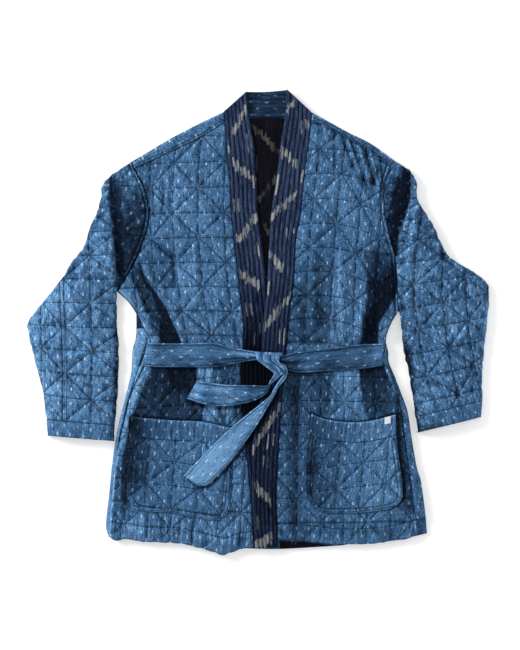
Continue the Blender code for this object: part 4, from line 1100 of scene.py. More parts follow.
# pockets
# across it, painted light and shade, darker to the left: x, amount
pocketLook = {
    "right": {
        "rows": ((-138, -231, 0, 0), (-186, -266, -1, -1), (-102, -276, 1, -1), (-144, -307, 0, -2)),
        "acrossShading": (
            (-216, 0.05), (-206, 0.10), (-193, 0.24), (-178, 0.43), (-140, 0.53), (-80, 0.63), (-56, 0.58),
            (-46, 0.48),
        ),
    },
    "left": {
        "rows": ((173, -233, 0, 0), (208, -265, 1, -1), (128, -276, -1, -1), (164, -310, 0, -2)),
        "acrossShading": ((78, 0.18), (92, 0.28), (124, 0.44), (156, 0.56), (200, 0.66), (236, 0.62)),
    },
}
quiltPocket = {side: fitted(look["rows"], 3) for side, look in pocketLook.items()}
pocketBand = 33.0         # plain gathered band along the opening


def pocketFoot(side):
    return lambda p: frontBase(side, p) + 0.3


def pocketCloth(p, side):  # relief, wear with painted light and shade, distance to the mouth, share of the band, its gathers
    d = far(p, lines[side]["mouth"])
    relief, shadingAndWear = quilted(onCloth(p, quiltPocket[side]), 51)
    return relief, shadingAndWear, d, unit((pocketBand - d) / 3), noise(p, 61, (2.8, 50.0))


def pocketTop(side):
    loop, rims = pockets[side]
    centre, foot = loop[:, 0].mean(), pocketFoot(side)

    def top(p):
        relief, _, d, band, gathers = pocketCloth(p, side)
        gathers = gathers * (0.2 + unit(1 - np.abs(p[:, 0] - centre) / 75))
        z = foot(p) + level["pocket"] + (1 - band) * relief * 0.75 + band * gathers
        z += ridge(d, pocketBand, 1.0, -1.2) + ridge(d, 0, 2.2, 0.8)
        e = far(p, closed(loop))
        z += (1 - band) * (ridge(e, 2.2, 0.8, -0.5) + ridge(e, 7.5, 0.9, -0.8))
        return edged(z, foot(p), p, loop, rims)

    return top


def pocketMarks(side):
    edge, mouth = closed(pockets[side][0], 3), lines[side]["mouth"]
    centre = edge[:, 0].mean()

    def tone(q):
        p = q[:, :2]
        _, shadingAndWear, d, band, gathers = pocketCloth(p, side)
        base = np.interp(p[:, 0], *np.array(pocketLook[side]["acrossShading"], float).T)
        if side == "right":
            base = base + (0.52 - base) * unit((-250 - p[:, 1]) / 50) - 0.07 * band
        # painted light along the mouth, on the gathers and along the lower rim; painted shadow of the belt's
        # tails
        base += 0.8 * (1 - band) * shadingAndWear + 0.08 * band * gathers + ridge(d, 0, 2.5, 0.3)
        base += ridge(far(p, edge), 1.0, 2.8, 0.3) * unit((-275 - p[:, 1]) / 20) - 0.5 * castShade(p)
        return np.clip(base, 0.02, 1.1)

    def stitch(q):
        d = far(q, mouth) - pocketBand
        return np.where(d < 4, d, np.abs(far(q, edge) - 4.8) - 2.8)

    def pull(q):
        return 0.8 * unit((pocketBand - far(q, mouth)) / 4) * unit(1.15 - np.abs(q[:, 0] - centre) / 62)

    return {"tone": tone, "quilt": lambda q: unit((far(q, mouth) - pocketBand) / 2),
            "stitch": stitch, "pull": pull}


for side, (loop, rims) in pockets.items():
    body = shell(loop, rims, pocketTop(side), pocketFoot(side))
    piece(f"pocket_{side}", [body], indigoPaint, clothAt(quiltPocket[side]),
          pocketMarks(side))

# collar bands
# kasuri strands. Columns: mm from the free edge and y at one end, the same at the other,
# length of a strand. A row with one place is a bar.
collarLook = {
    "right": (
        (3, 355, 34, 312, 19), (8, 296, 9, 296, 32), (0.5, 296, 1.5, 296, 24), (41, 285, 42, 285, 12),
        (36, 262, 1, 232, 21), (37, 193, 38, 193, 28), (29, 193, 30, 193, 26), (2, 174, 38, 136, 20),
        (6, 119, 7, 119, 28), (40, 78, 10, 60, 20), (36, 21, 37, 21, 26), (28, 21, 29, 21, 26),
        (15, -10, 16, -10, 22), (24, -28, 25, -28, 24),
    ),
    "left": (
        (0, 348, 17, 363, 17), (30, 322, 31, 322, 27), (38, 327, 39, 327, 18), (43, 325, 44, 325, 14),
        (1, 285, 30, 259, 19), (2, 227, 3, 227, 34), (41, 240, 43, 240, 21), (36, 214, 1, 174, 20),
        (27, 148, 28, 148, 27), (38, 150, 40, 150, 14), (2, 110, 25, 89, 20), (2, 56, 3, 56, 30),
        (38, 41, 4, -5, 22), (28, -24, 29, -24, 32), (36, -24, 37, -24, 32), (38, -137, 0, -211, 24),
        (24, -197, 25, -197, 30), (33, -194, 34, -194, 28), (19, -228, 20, -228, 26),
        (26, -231, 27, -231, 24), (3, -269, 30, -295, 22), (6, -330, 7, -330, 28), (30, -351, 2, -369, 20),
    ),
}
channels = 6
strandWidth, bandWidth, bandRim = 3.1, 44.0, 2.6
bandStep, bandAcross = ((2.2, 49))
bandShade = (
    # painted shade under the knot and the tails, same columns as folds
    (-12, -62, -16, -100, 28, -0.9), (8, -70, 2, -97, 24, -0.8), (-20, -128, -22, -152, 24, -0.7),
)


def gridNoise(grid, seed, size):
    return noise(grid.reshape(-1, 2), seed, size).reshape(grid.shape[:2])


def strands(u, y, chart, seed):  # 1 in an off-white strand, 0 in the ground
    lane = np.floor(u / strandWidth)
    middle = (lane + 0.5) * strandWidth
    rng = np.random.default_rng(seed)
    shift, size, pale = rng.uniform(-1, 1, 400), rng.uniform(-1, 1, 400), rng.uniform(0.45, 1, 400)
    out = np.zeros(len(u))
    for k, (u0, y0, u1, y1, length) in enumerate(chart):
        i = (lane + 37 * k).astype(int) % 400
        if abs(u1 - u0) <= 1:
            inside, run = 1 - unit(np.abs(u - (u0 + u1) / 2) - 1.1), y0
        else:
            inside = (middle > min(u0, u1) - 1.3) & (middle < max(u0, u1) + 1.3)
            run = y0 + (y1 - y0) * unit((middle - u0) / (u1 - u0)) + shift[i] * 3.6
        end = unit((length / 2 + 0.5 + size[i] * 3.0 - np.abs(y - run)) / 4.0)
        out = np.maximum(out, inside * end * pale[i])
    return out


def cords(t, power):  # round corded channels
    return np.sin(np.pi * (t % 1)) ** power


def lapped(y):  # how far the lower band lifts the upper one
    return (level["lap"] - level["front"]) * unit((130 - y) / 90)


def lapFoot(points, u):
    flat = points.reshape(-1, 2)
    apart, side, _ = offLine(flat, lines["right"]["free"])
    step = unit((4.5 - apart * side) / 3.5) * unit((110 - flat[:, 1]) / 45)
    return (level["front"] + (level["lap"] - level["front"]) * step).reshape(u.shape)


def bandTop(side):
    def top(points, u):
        cord = cords(u * channels, 0.6) + 0.12 * gridNoise(points, 71, (3.0, 12.0))
        z = level["front"] + level["band"] - 0.4 + (level["rib"] + 0.4) * cord
        if side == "left":
            z = z + lapped(points[..., 1]) * (1 - 0.55 * u)
        z = z + 0.6 * gridNoise(points, 72, 70.0) + 0.8 * np.exp(-u * 22.5)
        return z - bandRim * rounded(np.minimum(u, 1 - u) * bandWidth / bandRim)

    return top


def bandTone(p, side, lane):
    cord = cords(lane * channels, 0.4) + 0.1 * noise(p, 74, (3.0, 12.0))
    tone = 0.10 + 0.42 * cord + 0.10 * noise(p, 73, (2.4, 40.0)) + 0.06 * noise(p, 79, (16.0, 60.0))
    # painted light on the tops of the cords and toward the top, painted shade under the knot and tails; the
    # left band's free edge painted lit, the right band painted darker in the shade of the left one
    tone += 0.21 * unit((p[:, 1] + 60) / 120) + folded(p, bandShade) - 0.6 * castShade(p)
    if side == "left":
        tone += 0.45 * np.exp(-lane * bandWidth / 1.2)
    else:
        tone -= 0.32 * unit((60 - p[:, 1]) / 90) * unit((p[:, 1] + 160) / 40)
    return np.clip(tone, 0, 1.1)


for side, own in cut.items():
    sections = smooth(own["collar"], bandStep)
    a, b = sections[:, :2], sections[:, 2:]
    trim = (b - a) / widths(sections)[:, None] * 0.15   # the edges stay clear of the seams
    sections, across = np.hstack([a + trim, b - trim]), np.linspace(0, 1, bandAcross)
    foot = lapFoot if side == "left" else lambda p, u: np.full(u.shape, level["front"])
    lane = np.tile(across, 2 * len(sections))
    reach = np.tile((across * widths(sections)[:, None]).ravel(), 2)
    piece(f"collar_{side}", [strip(sections, across, bandTop(side), foot)], bandPaint,
          lambda q: np.column_stack([reach, q[:, 1]]),
          {"tone": lambda q: bandTone(q[:, :2], side, lane),
           "kasuri": lambda q: strands(reach, q[:, 1], collarLook[side], 81)})

# neck stand, its inside face in dashed indigo
neckLoop, neckRims = outline(
    (smooth(neckBack), 0), (smooth(((87, 347), (66, 366), (46, 384))), 3),
    (smooth(((46, 384), (13, 381), (-20, 381))), 3),
    (smooth(((-20, 381), (-39, 364), (-58, 347))), 3),
)
# rows of stitching: apart, y of the lowest one, x of its middle, how it bows
neckLook = {"apart": 7.3, "low": 338.5, "middle": 14, "bow": 0.0012}


def neckCord(p):
    bow = neckLook["bow"] * (p[:, 0] - neckLook["middle"]) ** 2
    return cords((p[:, 1] - neckLook["low"] - bow) / neckLook["apart"], 0.6)


def neckTop(p):
    z = level["back"] - 1.6 + 1.6 * neckCord(p) + 0.3 * noise(p, 75, (14.0, 5.0))
    return edged(z, 0, p, neckLoop, neckRims)


def neckTone(q):
    # the tops of its corded rows painted lighter
    return np.clip(0.09 + 0.15 * neckCord(q) + 0.1 * noise(q[:, :2], 76, (12.0, 3.0)), 0.02, 1)


neckBody = shell(inset(neckLoop, 0.15), neckRims * 0.7, neckTop, even(0.0), step=trimStep)
piece("collar_back", [neckBody], indigoPaint,
      lambda q: np.column_stack([q[:, 1] + 4, q[:, 0]]), {"tone": neckTone})

# lining: what shows of it at the neck and at the left hem
liningCharts = {
    # x and y at one end of the strands, at the other, length of a strand
    "neck": ((-12, 323, 34, 281, 16), (-3, 262, -2, 262, 28), (30, 238, -4, 200, 15), (6, 160, 24, 142, 14)),
    "hem": ((52, -366, 62, -369, 6), (88, -368, 104, -369, 5)),
}
hemStrip = np.array([(36, -362), (55, -362.2), (89, -365), (117, -369), (117, -369.6), (89, -371.2),
                     (55, -373), (36, -373.6)], float)


def liningEdge(side, x):
    return smooth([(x, 338)] + [p for p in lines[side]["free"] if 52 < p[1] < 330])


def lining(where, loop, rims, top, seed):
    body = shell(loop, rims, top, even(level["front"]), step=trimStep)
    piece(f"lining_{where}", [body], liningPaint, lambda q: q[:, :2],
          {"tone": lambda q: np.clip(0.45 + 0.25 * noise(q[:, :2], 78, (3.0, 30.0)), 0, 1),
           "kasuri": lambda q: strands(q[:, 0], q[:, 1], liningCharts[where], seed)})


liningLoop, liningRims = outline((liningEdge("right", -15.5), 0), (liningEdge("left", 43.5)[::-1], 0))
liningLoop = inset(liningLoop, 0.8)
hemLoop, hemRims = outline((smooth(closed(hemStrip), 4), 0))
liningHigh = level["front"] + level["lining"]
lining("neck", liningLoop, liningRims,
       lambda p: liningHigh + 0.5 * noise(p, 77, 22.0) * unit(depth(p, liningLoop) / 6), 82)
lining("hem", hemLoop, hemRims, even(liningHigh), 83)
print("collar and lining made")

# sleeves: flattened tubes, doubled over below the shoulder
# edges: shoulder to cuff, outer edge x, y, inner edge x, y; inner: where the inner edge starts
sleeveLook = {
    "right": {
        "inner": 9, "hand": 1, "seed": 91, "tone": (0.66, 0.10),
        "edges": (
            (-242, 246, -210, 265), (-259, 227, -200, 238), (-261, 210, -192, 218), (-267, 185, -185, 192),
            (-274, 168, -182, 175), (-282, 152, -191, 148), (-288, 128, -203, 114), (-306, 104, -212, 95),
            (-323, 77, -224, 70), (-354, 38, -234, 51), (-381, 2, -233, 4), (-382, -15, -231, -30),
            (-371, -61, -230, -76), (-359, -109, -233, -128), (-352, -155, -236, -170),
            (-349, -188, -238, -197),
        ),
        "pleat": (
            (-244, 250), (-246, 225), (-245, 215), (-248, 203), (-246, 192), (-244, 165), (-238, 102),
            (-234, 52),
        ),
        "rows": (
            (-279, 31, 0, 0), (-321, -6, -1, -1), (-274, -48, 0, -2), (-315, -87, -1, -3),
            (-278, -126, 0, -4), (-320, -163, -1, -5), (-361, -41, -2, -2), (-280, 110, 0, 2),
            (-320, 70, -1, 1),
        ),
        "folds": ((-322, 60, -262, 20, 16, 4), (-370, -18, -300, 4, 13, -4), (-345, -70, -262, -40, 14, 3)),
        "paintedShading": (
            (-330, 60, -300, -20, 26, 0.12), (-372, -12, -350, -120, 10, 0.12),
            (-300, -190, -300, -175, 12, -0.1), (-232, 20, -236, -190, 9, -0.5),
            (-300, 150, -286, 100, 12, 0.08),
        ),
        "veils": (
            ((243, -245, 2.5, -216, 19.8, 0.1), (231, -246, 2.5, -212, 23, 0.48),
             (205, -247, 2.5, -190, 26, 0.56), (185, -246, 2.5, -184, 14, 0.6),
             (172, -243, 2.5, -182, 6.6, 0.7), (160, -242, 2.5, -186, 5, 0.82),
             (119, -237, 2.5, -191, 5, 0.92), (86, -235, 2.5, -209, 4.9, 1.0),
             (50, -233, 2.5, -224, 3.3, 1.1)),
            ((235, -246, 1.6, -232, 11.5, 0), (218, -246, 1.6, -230, 11.5, 0.3),
             (119, -237, 1.6, -222, 11.5, 0.25), (50, -233, 1.6, -222, 8.2, 0.2)),
            ((231, -257, 4.9, -246, 1.6, -0.15), (119, -255, 9.9, -238, 1.6, -0.12),
             (37, -249, 9.9, -233, 1.6, 0)),
        ),
    },
    "left": {
        "inner": 10, "hand": -1, "seed": 95, "tone": (0.61, 0.12),
        "edges": (
            (249, 254, 224, 267), (261, 233, 213, 244), (264, 203, 207, 208), (280, 175, 208, 180),
            (292, 155, 213, 157), (300, 136, 218, 134), (319, 106, 225, 112), (355, 84, 227, 89),
            (378, 65, 229, 70), (382, 50, 230, 45), (381, 21, 231, 18), (376, -24, 235, -15),
            (372, -62, 238, -45), (370, -100, 248, -88), (371, -138, 255, -138), (368, -157, 262, -183),
        ),
        "pleat": ((249, 254), (249, 220), (250, 201), (246, 185), (239, 167), (232, 145), (226, 112)),
        "rows": (
            (261, 59, 0, 0), (261, 139, 0, 2), (304, 102, 1, 1), (344, 73, 2, 0), (302, 33, 1, -1),
            (262, -13, 0, -2), (378, 51, 3, -1), (343, 7, 2, -2), (309, -40, 1, -3), (279, -88, 0, -4),
            (358, -75, 2, -4), (329, -119, 1, -5),
        ),
        "folds": ((258, 140, 300, 92, 15, 4), (262, 62, 340, 44, 13, -4), (272, -40, 350, -22, 14, 3)),
        "paintedShading": (
            (258, 218, 254, 130, 9, 0.15), (290, 130, 262, 60, 16, 0.10), (330, -40, 320, -150, 30, -0.05),
            (235, 40, 238, -30, 8, -0.3), (241, -40, 260, -184, 12, -0.6), (268, 124, 296, 110, 18, -0.12),
            (244, 140, 244, 40, 11, 0.08), (292, -172, 270, -182, 22, -0.12),
            (378, 36, 369, -152, 4.5, 0.36), (262, -186, 286, -178, 14, -0.28),
            (350, -20, 344, -120, 13, -0.12),
        ),
        "veils": (
            ((258, 238, 8.2, 252, 1.6, 0.4), (248, 237, 9.9, 251, 2, 1.0), (226, 229, 22, 251, 2, 1.05),
             (202, 225, 25, 249, 2, 1.05), (175, 221, 20, 242, 2, 1.05), (142, 217, 12, 230, 2, 1.05),
             (109, 219, 6, 229, 2, 1.0)),
            ((242, 216, 10, 251, 2, 0), (226, 210, 9, 251, 2, 0.32), (202, 206, 8, 249, 2, 0.46),
             (175, 206, 6, 242, 2, 0.5), (142, 209, 5, 230, 2, 0.42), (109, 216, 4, 229, 2, 0.3)),
            ((241, 252, 2.5, 268, 8.2, -0.1), (177, 241, 2.5, 263, 9.9, -0.15),
             (136, 228, 2.5, 253, 13.2, -0.15), (94, 227, 2.5, 246, 13.2, 0)),
        ),
    },
}
# heights; full: how far in from its edges it reaches the middle height; slot: the hollow inside
sleeveLevel = {"edge": 9.0, "middle": 21.0, "full": 34, "lip": 15, "valley": 8.6, "slot": (5.2, 8.8)}
sleeveSeam = ((-328, 96), (-324, 53), (-322, 0), (-320, -46), (-319, -96), (-320, -161))
cuffLine, cuffPlain = 27.0, 26.0   # from the cuff: stitching, end of quilting
armRow, seamRow = 4.9, 3.2         # stitching beside the right sleeve's seams


def sleeve(side):  # makes it, and gives its flat cut
    look = sleeveLook[side]
    quilt = fitted(look["rows"], 6)
    table = np.array(look["edges"], float)
    outer, inner = smooth(table[:, :2]), smooth(table[look["inner"]:, 2:])
    cuff, arm = smooth([table[-1, :2], table[-1, 2:]]), smooth(cut[side]["armhole"])
    loop, rims = outline(
        (outer, 5), (cuff, 1.5), (inner[::-1], 5), (arm[::-1], 0),
        (smooth([table[0, 2:], table[0, :2]]), 4),
    )
    fold = smooth(look["pleat"], 6)
    low = fold[:, 1].min()
    armRows = ((arm[::2], armRow),) if side == "right" else ()
    along = smooth(sleeveSeam, 12)
    toSeam = (lambda p: far(p, along)) if side == "right" else even(distant)
    toEdge = lambda p: np.minimum(far(p, outer[::2]), far(p, inner[::2]))

    def valley(p):  # inside the pleat, and distance to its edge
        d, s, _ = offLine(p, fold)
        return (s * look["hand"] > 0) & (p[:, 1] > low), np.where(p[:, 1] > low - 25, d, distant)

    def base(p):
        beyond, d = valley(p)
        edge, middle, bottom = (sleeveLevel[key] for key in ("edge", "middle", "valley"))
        full = edge + (middle - edge) * np.sin(np.pi / 2 * unit(toEdge(p) / sleeveLevel["full"]))
        lipped = bottom + (np.maximum(full, sleeveLevel["lip"]) - bottom) * (1 - 0.75 * rounded(d / 4.0))
        full = np.where(p[:, 1] > low, lipped, full)
        hollow = bottom - 1.2 * np.exp(-d / 8) + 3.2 * unit(d / 26)
        return np.where(beyond, hollow, full + folded(p, look["folds"])), beyond

    def top(p):
        z, beyond = base(p)
        d, s = far(p, cuff), toSeam(p)
        plain = np.clip((d - cuffLine) / 4, 0.25, 1) * np.where(beyond, 0.75, 1.0)
        z = z + quilted(onCloth(p, quilt), look["seed"])[0] * plain + topstitch(p, armRows)[0]
        z += ridge(d, cuffLine, 1.0, -1.3) + ridge(s, seamRow, 0.9, -1.0) + ridge(s, 0, 1.6, 0.6)
        return edged(z, 1.0, p, loop[::2], rims[::2])

    def foot(p):
        return 1.5 + (sleeveLevel["slot"][1] - 1.5) * unit((toEdge(p) - 2) / 8) ** 0.6

    def tone(q):
        p = q[:, :2]
        d, s, (start, high) = far(p, cuff), toSeam(p), look["tone"]
        # painted shade in the pleat's hollow, broad painted light and shade, darker toward the shoulder, and
        # painted highlights on the ridges beside the seams
        shade = veiled(p, look["veils"])
        strength = 1.5 * np.clip(1 - 0.6 * shade, 0.35, 1.1) * np.clip(d / 30, 0.6, 1)
        tone = start - high * unit((p[:, 1] - 20) / 80) + folded(p, look["paintedShading"]) - 0.5 * shade
        tone += strength * quilted(onCloth(p, quilt), look["seed"])[1] - 0.06 * (d < cuffLine)
        tone += 1.5 * topstitch(p, armRows)[2] + ridge(s, 0.8, 1.7, 0.22) - ridge(s, 5.0, 1.6, 0.12)
        return np.clip(tone, 0.01, 1.15)

    def stitch(q):
        return nearer(toSeam(q) - seamRow, nearer(topstitch(q, armRows)[1], far(q, cuff) - cuffLine))

    def cloth(q):  # the quilting lies slanted in the pleat
        inPleat = onCloth(q, turned(quilt, -look["hand"] * 12))
        return np.where(valley(q)[0][:, None], inPleat, onCloth(q, quilt)) * pitch

    upper = shell(ruffled(loop, rims, quilt), rims, top, foot, low=0.15)
    lower = shell(inset(loop, np.where(rims > 3, 2.0, 0.3)), 0 * rims, even(sleeveLevel["slot"][0]),
                  even(0.0), step=hiddenStep)
    piece(f"sleeve_{side}", [upper, lower], indigoPaint, cloth,
          {"tone": tone, "quilt": lambda q: unit((far(q, cuff) - cuffPlain) / 3), "stitch": stitch})
    (wide, tall), area = cutOf(loop)
    return (2 * wide, tall), 2 * area                  # cut all round the arm


sleeveCuts = {side: sleeve(side) for side in sleeveLook}
print("sleeves made")

# belt, tails and knot
tailUpper = (
    (21, -101, 19, -108), (11, -105, 12, -118), (-6, -104, -4, -128), (-29, -104, -24, -134),
    (-54, -103, -54, -138), (-79, -100, -84, -136), (-102, -97, -118, -126),
)
tailLower = (
    (24, -111.5, 31, -108), (19, -121, 28, -117), (6, -132, 16, -138), (-14, -148, -4, -171),
    (-41, -170, -34, -213), (-72, -199, -60, -244), (-100, -228, -84, -267), (-124, -253, -99, -268),
)
beltLooks = {
    # pleats: place across, half width, height, from and to along; shade: painted light and shade along it:
    # from, to, amount;
    # side: painted shade over part of its width: from and to along, from and to across, amount
    "belt_right": (right["belt"], {
        "seed": 101, "tone": 0.43, "pleats": ((0.40, 0.16, 1.2, 0.4, 0.9), (0.69, 0.05, -2.2, 0.35, 0.8)),
        "shade": ((-0.1, 0.09, 0.24),), "side": ((0.5, 1.05, 0.72, 1.1, -0.10),)}),
    "belt_left": (left["belt"], {
        "seed": 105, "tone": 0.38, "pleats": ((0.28, 0.07, 1.4, 0.6, 0.0), (0.5, 0.08, -1.6, 0.5, 0.0)),
        "shade": ((0.86, 1.1, 0.14), (-0.1, 0.2, -0.12)), "side": ((-0.1, 1.05, 0.5, 1.1, -0.06),)}),
    "belt_tail_upper": (tailUpper, {
        "seed": 109, "tone": 0.52, "pleats": ((0.35, 0.1, 0.9, 0.2, 0.0), (0.6, 0.1, -1.0, 0.1, 0.6)),
        "shade": ((0.84, 1.1, 0.26), (0.45, 0.72, 0.2), (-0.1, 0.34, -0.26))}),
    "belt_tail_lower": (tailLower, {
        "seed": 113, "tone": 0.75, "pleats": ((0.5, 0.2, 0.8, 0.3, 0.0),),
        "shade": ((0.5, 1.1, 0.08), (0.06, 0.2, -0.1))}),
}
sashRow = 3.0             # stitching of the belt, from its edges
frontTops = {side: frontTop(side) for side in fronts}
pocketTops = {side: pocketTop(side) for side in fronts}
bandLoops = {
    side: np.vstack([smooth(own["collar"], 22)[:, :2], smooth(own["collar"], 22)[::-1, 2:]])
    for side, own in cut.items()
}


def under(p):  # the highest cloth at each point, for what is laid over it
    z = np.full(len(p), level["roll"])
    for side in fronts:
        z = np.where(depth(p, coarse[side]) > 2, level["front"], z)
        band = level["front"] + level["band"] + level["rib"] + (lapped(p[:, 1]) if side == "left" else 0)
        for loop, top in ((coarse[side], frontTops[side](p)), (bandLoops[side], band),
                          (pockets[side][0][::2], pocketTops[side](p))):
            z = np.where(depth(p, loop) > -2, np.maximum(z, top), z)
    return z


def draped(points, reach=9.0):
    ring = [(0, 0)] + [(math.cos(t) * r, math.sin(t) * r) for t in np.arange(0, 6.2, 1.05)
                       for r in (reach / 2, reach)]
    return np.max([under(points + o) for o in ring], axis=0)


def beltStrip(rows, look):  # a flat sash with stitched edges, laid over what is under it
    guide = smooth(rows, 12)
    paths = guide[:, :2], guide[:, 2:], (guide[:, :2] + guide[:, 2:]) / 2
    rest = np.max([draped(p) for p in paths], axis=0) + 0.3
    for _ in range(2):
        rest = np.maximum(rest, np.convolve(np.pad(rest, 1, mode="edge"), (0.25, 0.5, 0.25), "valid"))
    sections, across, seed = smooth(rows, 2.5), np.linspace(0, 1, 21), look["seed"]
    s, u = np.meshgrid(runOf(sections), across, indexing="ij")
    t, w = s / s[-1, 0], widths(sections)[:, None]
    z0 = np.interp(t, runOf(guide) / runOf(guide)[-1], rest)
    edge, flat = np.minimum(u, 1 - u) * w, np.dstack([u * w, s])
    bumps = 0.9 * np.sin(np.pi * u) + ridge(edge, sashRow, 0.9, -0.6) + ridge(edge, 1.3, 1.0, 0.35)
    for at, half, size, start, end in look["pleats"]:
        bumps += ridge(u, at, half, size * unit((t - start) / (end - start)))
    bumps += 0.45 * gridNoise(flat, seed, (9.0, 26.0)) + 0.5 * gridNoise(flat, seed + 1, (30.0, 42.0))
    top = z0 + level["belt"] + bumps - 1.2 * rounded(edge / 1.2)
    sway = flat + np.dstack([3 * np.sin(s / 23), 0 * s])
    # painted light on its raised parts and a painted highlight along its edges
    tone = look["tone"] + 0.16 * bumps + 0.30 * np.exp(-edge)
    tone += 0.08 * gridNoise(sway, seed + 2, (14.0, 24.0)) + 0.10 * gridNoise(sway, seed + 3, (3.2, 40.0))
    for start, end, amount in look["shade"]:
        tone += amount * unit((t - start) / 0.06) * unit((end - t) / 0.06)
    for start, end, low, high, amount in look.get("side", ()):
        tone += amount * unit((t - start) / 0.1) * unit((end - t) / 0.05) * ((u > low) & (u < high))
    body = strip(sections, across, lambda p, u: top, lambda p, u: z0)
    return body, *(np.tile(a.ravel(), 2) for a in (u * w, s, edge, tone))


for node, (rows, look) in beltLooks.items():
    body, reach, along, edge, tone = beltStrip(rows, look)
    piece(node, [body], sashPaint, lambda q: np.column_stack([reach, along]),
          {"tone": lambda q: np.clip(tone, 0.02, 1.1), "stitch": lambda q: edge - sashRow})

knotHighest = 23.0
knotRest = draped(np.array([(20.0, -60.0), (35.0, -80.0)])).max()
knotFoot = min(float(knotRest) + level["belt"] + 0.6, knotHighest)
knotLook = (
    # rows: x, y of one edge, x, y of the other, height over the knot's foot
    {   # the turn that wraps the belt, down into the first strand
        "across": 25, "arch": 3.2, "creases": (0.30, 0.66),
        "rows": (
            (-5, -48.4, 40.3, -50.4, 3.5), (-4.8, -52, 37.5, -54, 7.5), (-4, -57, 34.5, -58.5, 9.5),
            (-2.5, -62, 33.2, -64, 10), (6, -69, 37.5, -68.5, 10), (15.1, -75.7, 42, -73, 9.5),
            (22, -81.3, 44.5, -77.5, 8.5), (25.2, -85, 40.5, -83.5, 7), (22.8, -90, 33.8, -90.3, 5),
            (18.8, -97, 26.5, -96.6, 3), (16, -103, 21, -101.5, 1.5),
        ),
    },
    {   # the outer strand of the loop
        "across": 13, "arch": 2.2, "creases": (0.5,),
        "rows": (
            (36, -66, 44.5, -71, 5), (41.2, -75, 46.8, -77, 6), (41.6, -82, 47.4, -84.5, 6),
            (38.6, -89, 44, -93.5, 5.5), (32.8, -96.8, 37, -101.6, 4.2), (29.4, -102.4, 33.6, -105.8, 3),
            (25.8, -108.2, 30.4, -110.6, 1.8), (22.6, -116, 26.6, -117.6, 0.8),
        ),
    },
)
knotShells, knotTone, knotPlace = [], [], []
for k, look in enumerate(knotLook):
    sections, across = smooth(look["rows"], 1.6), np.linspace(0, 1, look["across"])
    s, u = np.meshgrid(runOf(sections), across, indexing="ij")
    w = widths(sections)[:, None]
    arch = np.sqrt(unit(1 - (2 * u - 1) ** 2))
    creases = sum(ridge(u + 0.05 * np.sin(s / 9 + 2 * c), c, 0.06, 1.0) for c in look["creases"])
    flat = np.dstack([u * w, s])
    grain, crumple = gridNoise(flat, 121 + k, (5.0, 12.0)), gridNoise(flat, 131 + k, (1.9, 8.0))
    rise = sections[:, 4:] + look["arch"] * arch - 1.1 * creases + 0.7 * grain * arch
    knotShells.append(strip(sections, across, lambda p, v: knotFoot + rise,
                            lambda p, v: knotFoot + np.minimum(0, rise - 2)))
    # painted shade in the creases, painted highlight along the edges
    tone = 0.69 - 0.30 * creases + 0.12 * grain + 0.32 * crumple
    tone += 0.35 * np.exp(-np.minimum(u, 1 - u) * w / 0.9)
    knotTone += [tone.ravel()] * 2
    knotPlace += [(flat + (60 * k, 0)).reshape(-1, 2)] * 2
piece("belt_knot", knotShells, sashPaint, lambda q: np.vstack(knotPlace),
      {"tone": lambda q: np.clip(np.concatenate(knotTone), 0.02, 1.1)})
print("belt made")

# blank label and the thread loops that hold the belt
labelLook = {"x": (207.5, 217.5), "y": (-167.5, -156.0), "thick": 0.8, "slope": 0.24, "gap": 0.2,
             "rim": 0.8, "stitch": (1.3, 0.4, 0.15)}   # of its stitching: from the edge, half width, depth
threadLook = {"ends": {"right": ((-186.5, -31), (-198.5, -70)), "left": ((209.3, -41), (209.9, -62))},
              "radius": 0.9, "lift": 1.2, "tone": 0.75}


def tape(look):
    xs, ys = np.linspace(*look["x"], 15), np.linspace(*look["y"], 17)
    gx, gy = np.meshgrid(xs, ys, indexing="ij")
    tuck = np.minimum.reduce([gx - xs[0], xs[-1] - gx, gy - ys[0], ys[-1] - gy])
    gy = gy + look["slope"] * (gx - gx.mean())
    rest = float(pocketTops["left"](np.column_stack([gx.ravel(), gy.ravel()])).max()) + look["gap"]
    z = rest + look["thick"] * (0.55 + 0.45 * unit(tuck / look["rim"])) - ridge(tuck, *look["stitch"])
    sections = np.column_stack([gx[:, 0], gy[:, 0], gx[:, -1], gy[:, -1]])
    return strip(sections, np.linspace(0, 1, len(ys)), lambda q, u: z, lambda q, u: rest + 0 * z)


def tube(path, radius, sides=8):  # a round thread along a path
    way = np.gradient(path, axis=0)
    way /= np.linalg.norm(way, axis=1)[:, None]
    side = np.cross(way, (0, 0, 1.0))
    side /= np.linalg.norm(side, axis=1)[:, None]
    up = np.cross(side, way)
    t = np.linspace(0, 2 * np.pi, sides, endpoint=False)[None, :, None]
    wobble = 1 + 0.18 * np.sin(np.arange(len(path)) * 2.1)[:, None, None]
    rings = path[:, None] + radius * wobble * (np.cos(t) * side[:, None] + np.sin(t) * up[:, None])
    n = len(path)
    faces = [[i * sides + k, i * sides + (k + 1) % sides, (i + 1) * sides + (k + 1) % sides,
              (i + 1) * sides + k] for i in range(n - 1) for k in range(sides)]
    faces += [list(range(sides))[::-1], [(n - 1) * sides + k for k in range(sides)]]
    return rings.reshape(-1, 3), faces


piece("pocket_label", [tape(labelLook)], labelPaint, ending="tape")
for side, ends in threadLook["ends"].items():
    t = np.linspace(0, 1, 60)
    line = np.column_stack([a + (b - a) * t for a, b in zip(*ends)])
    z = np.interp(t, t[::6], draped(line[::6], 1.5) + threadLook["lift"])
    body = tube(np.column_stack([line, z]), threadLook["radius"])
    piece(f"belt_loop_{side}", [body], sashPaint, lambda q: q[:, :2] * 0.2,
          {"tone": even(threadLook["tone"])}, "thread")
print("label and loops made")

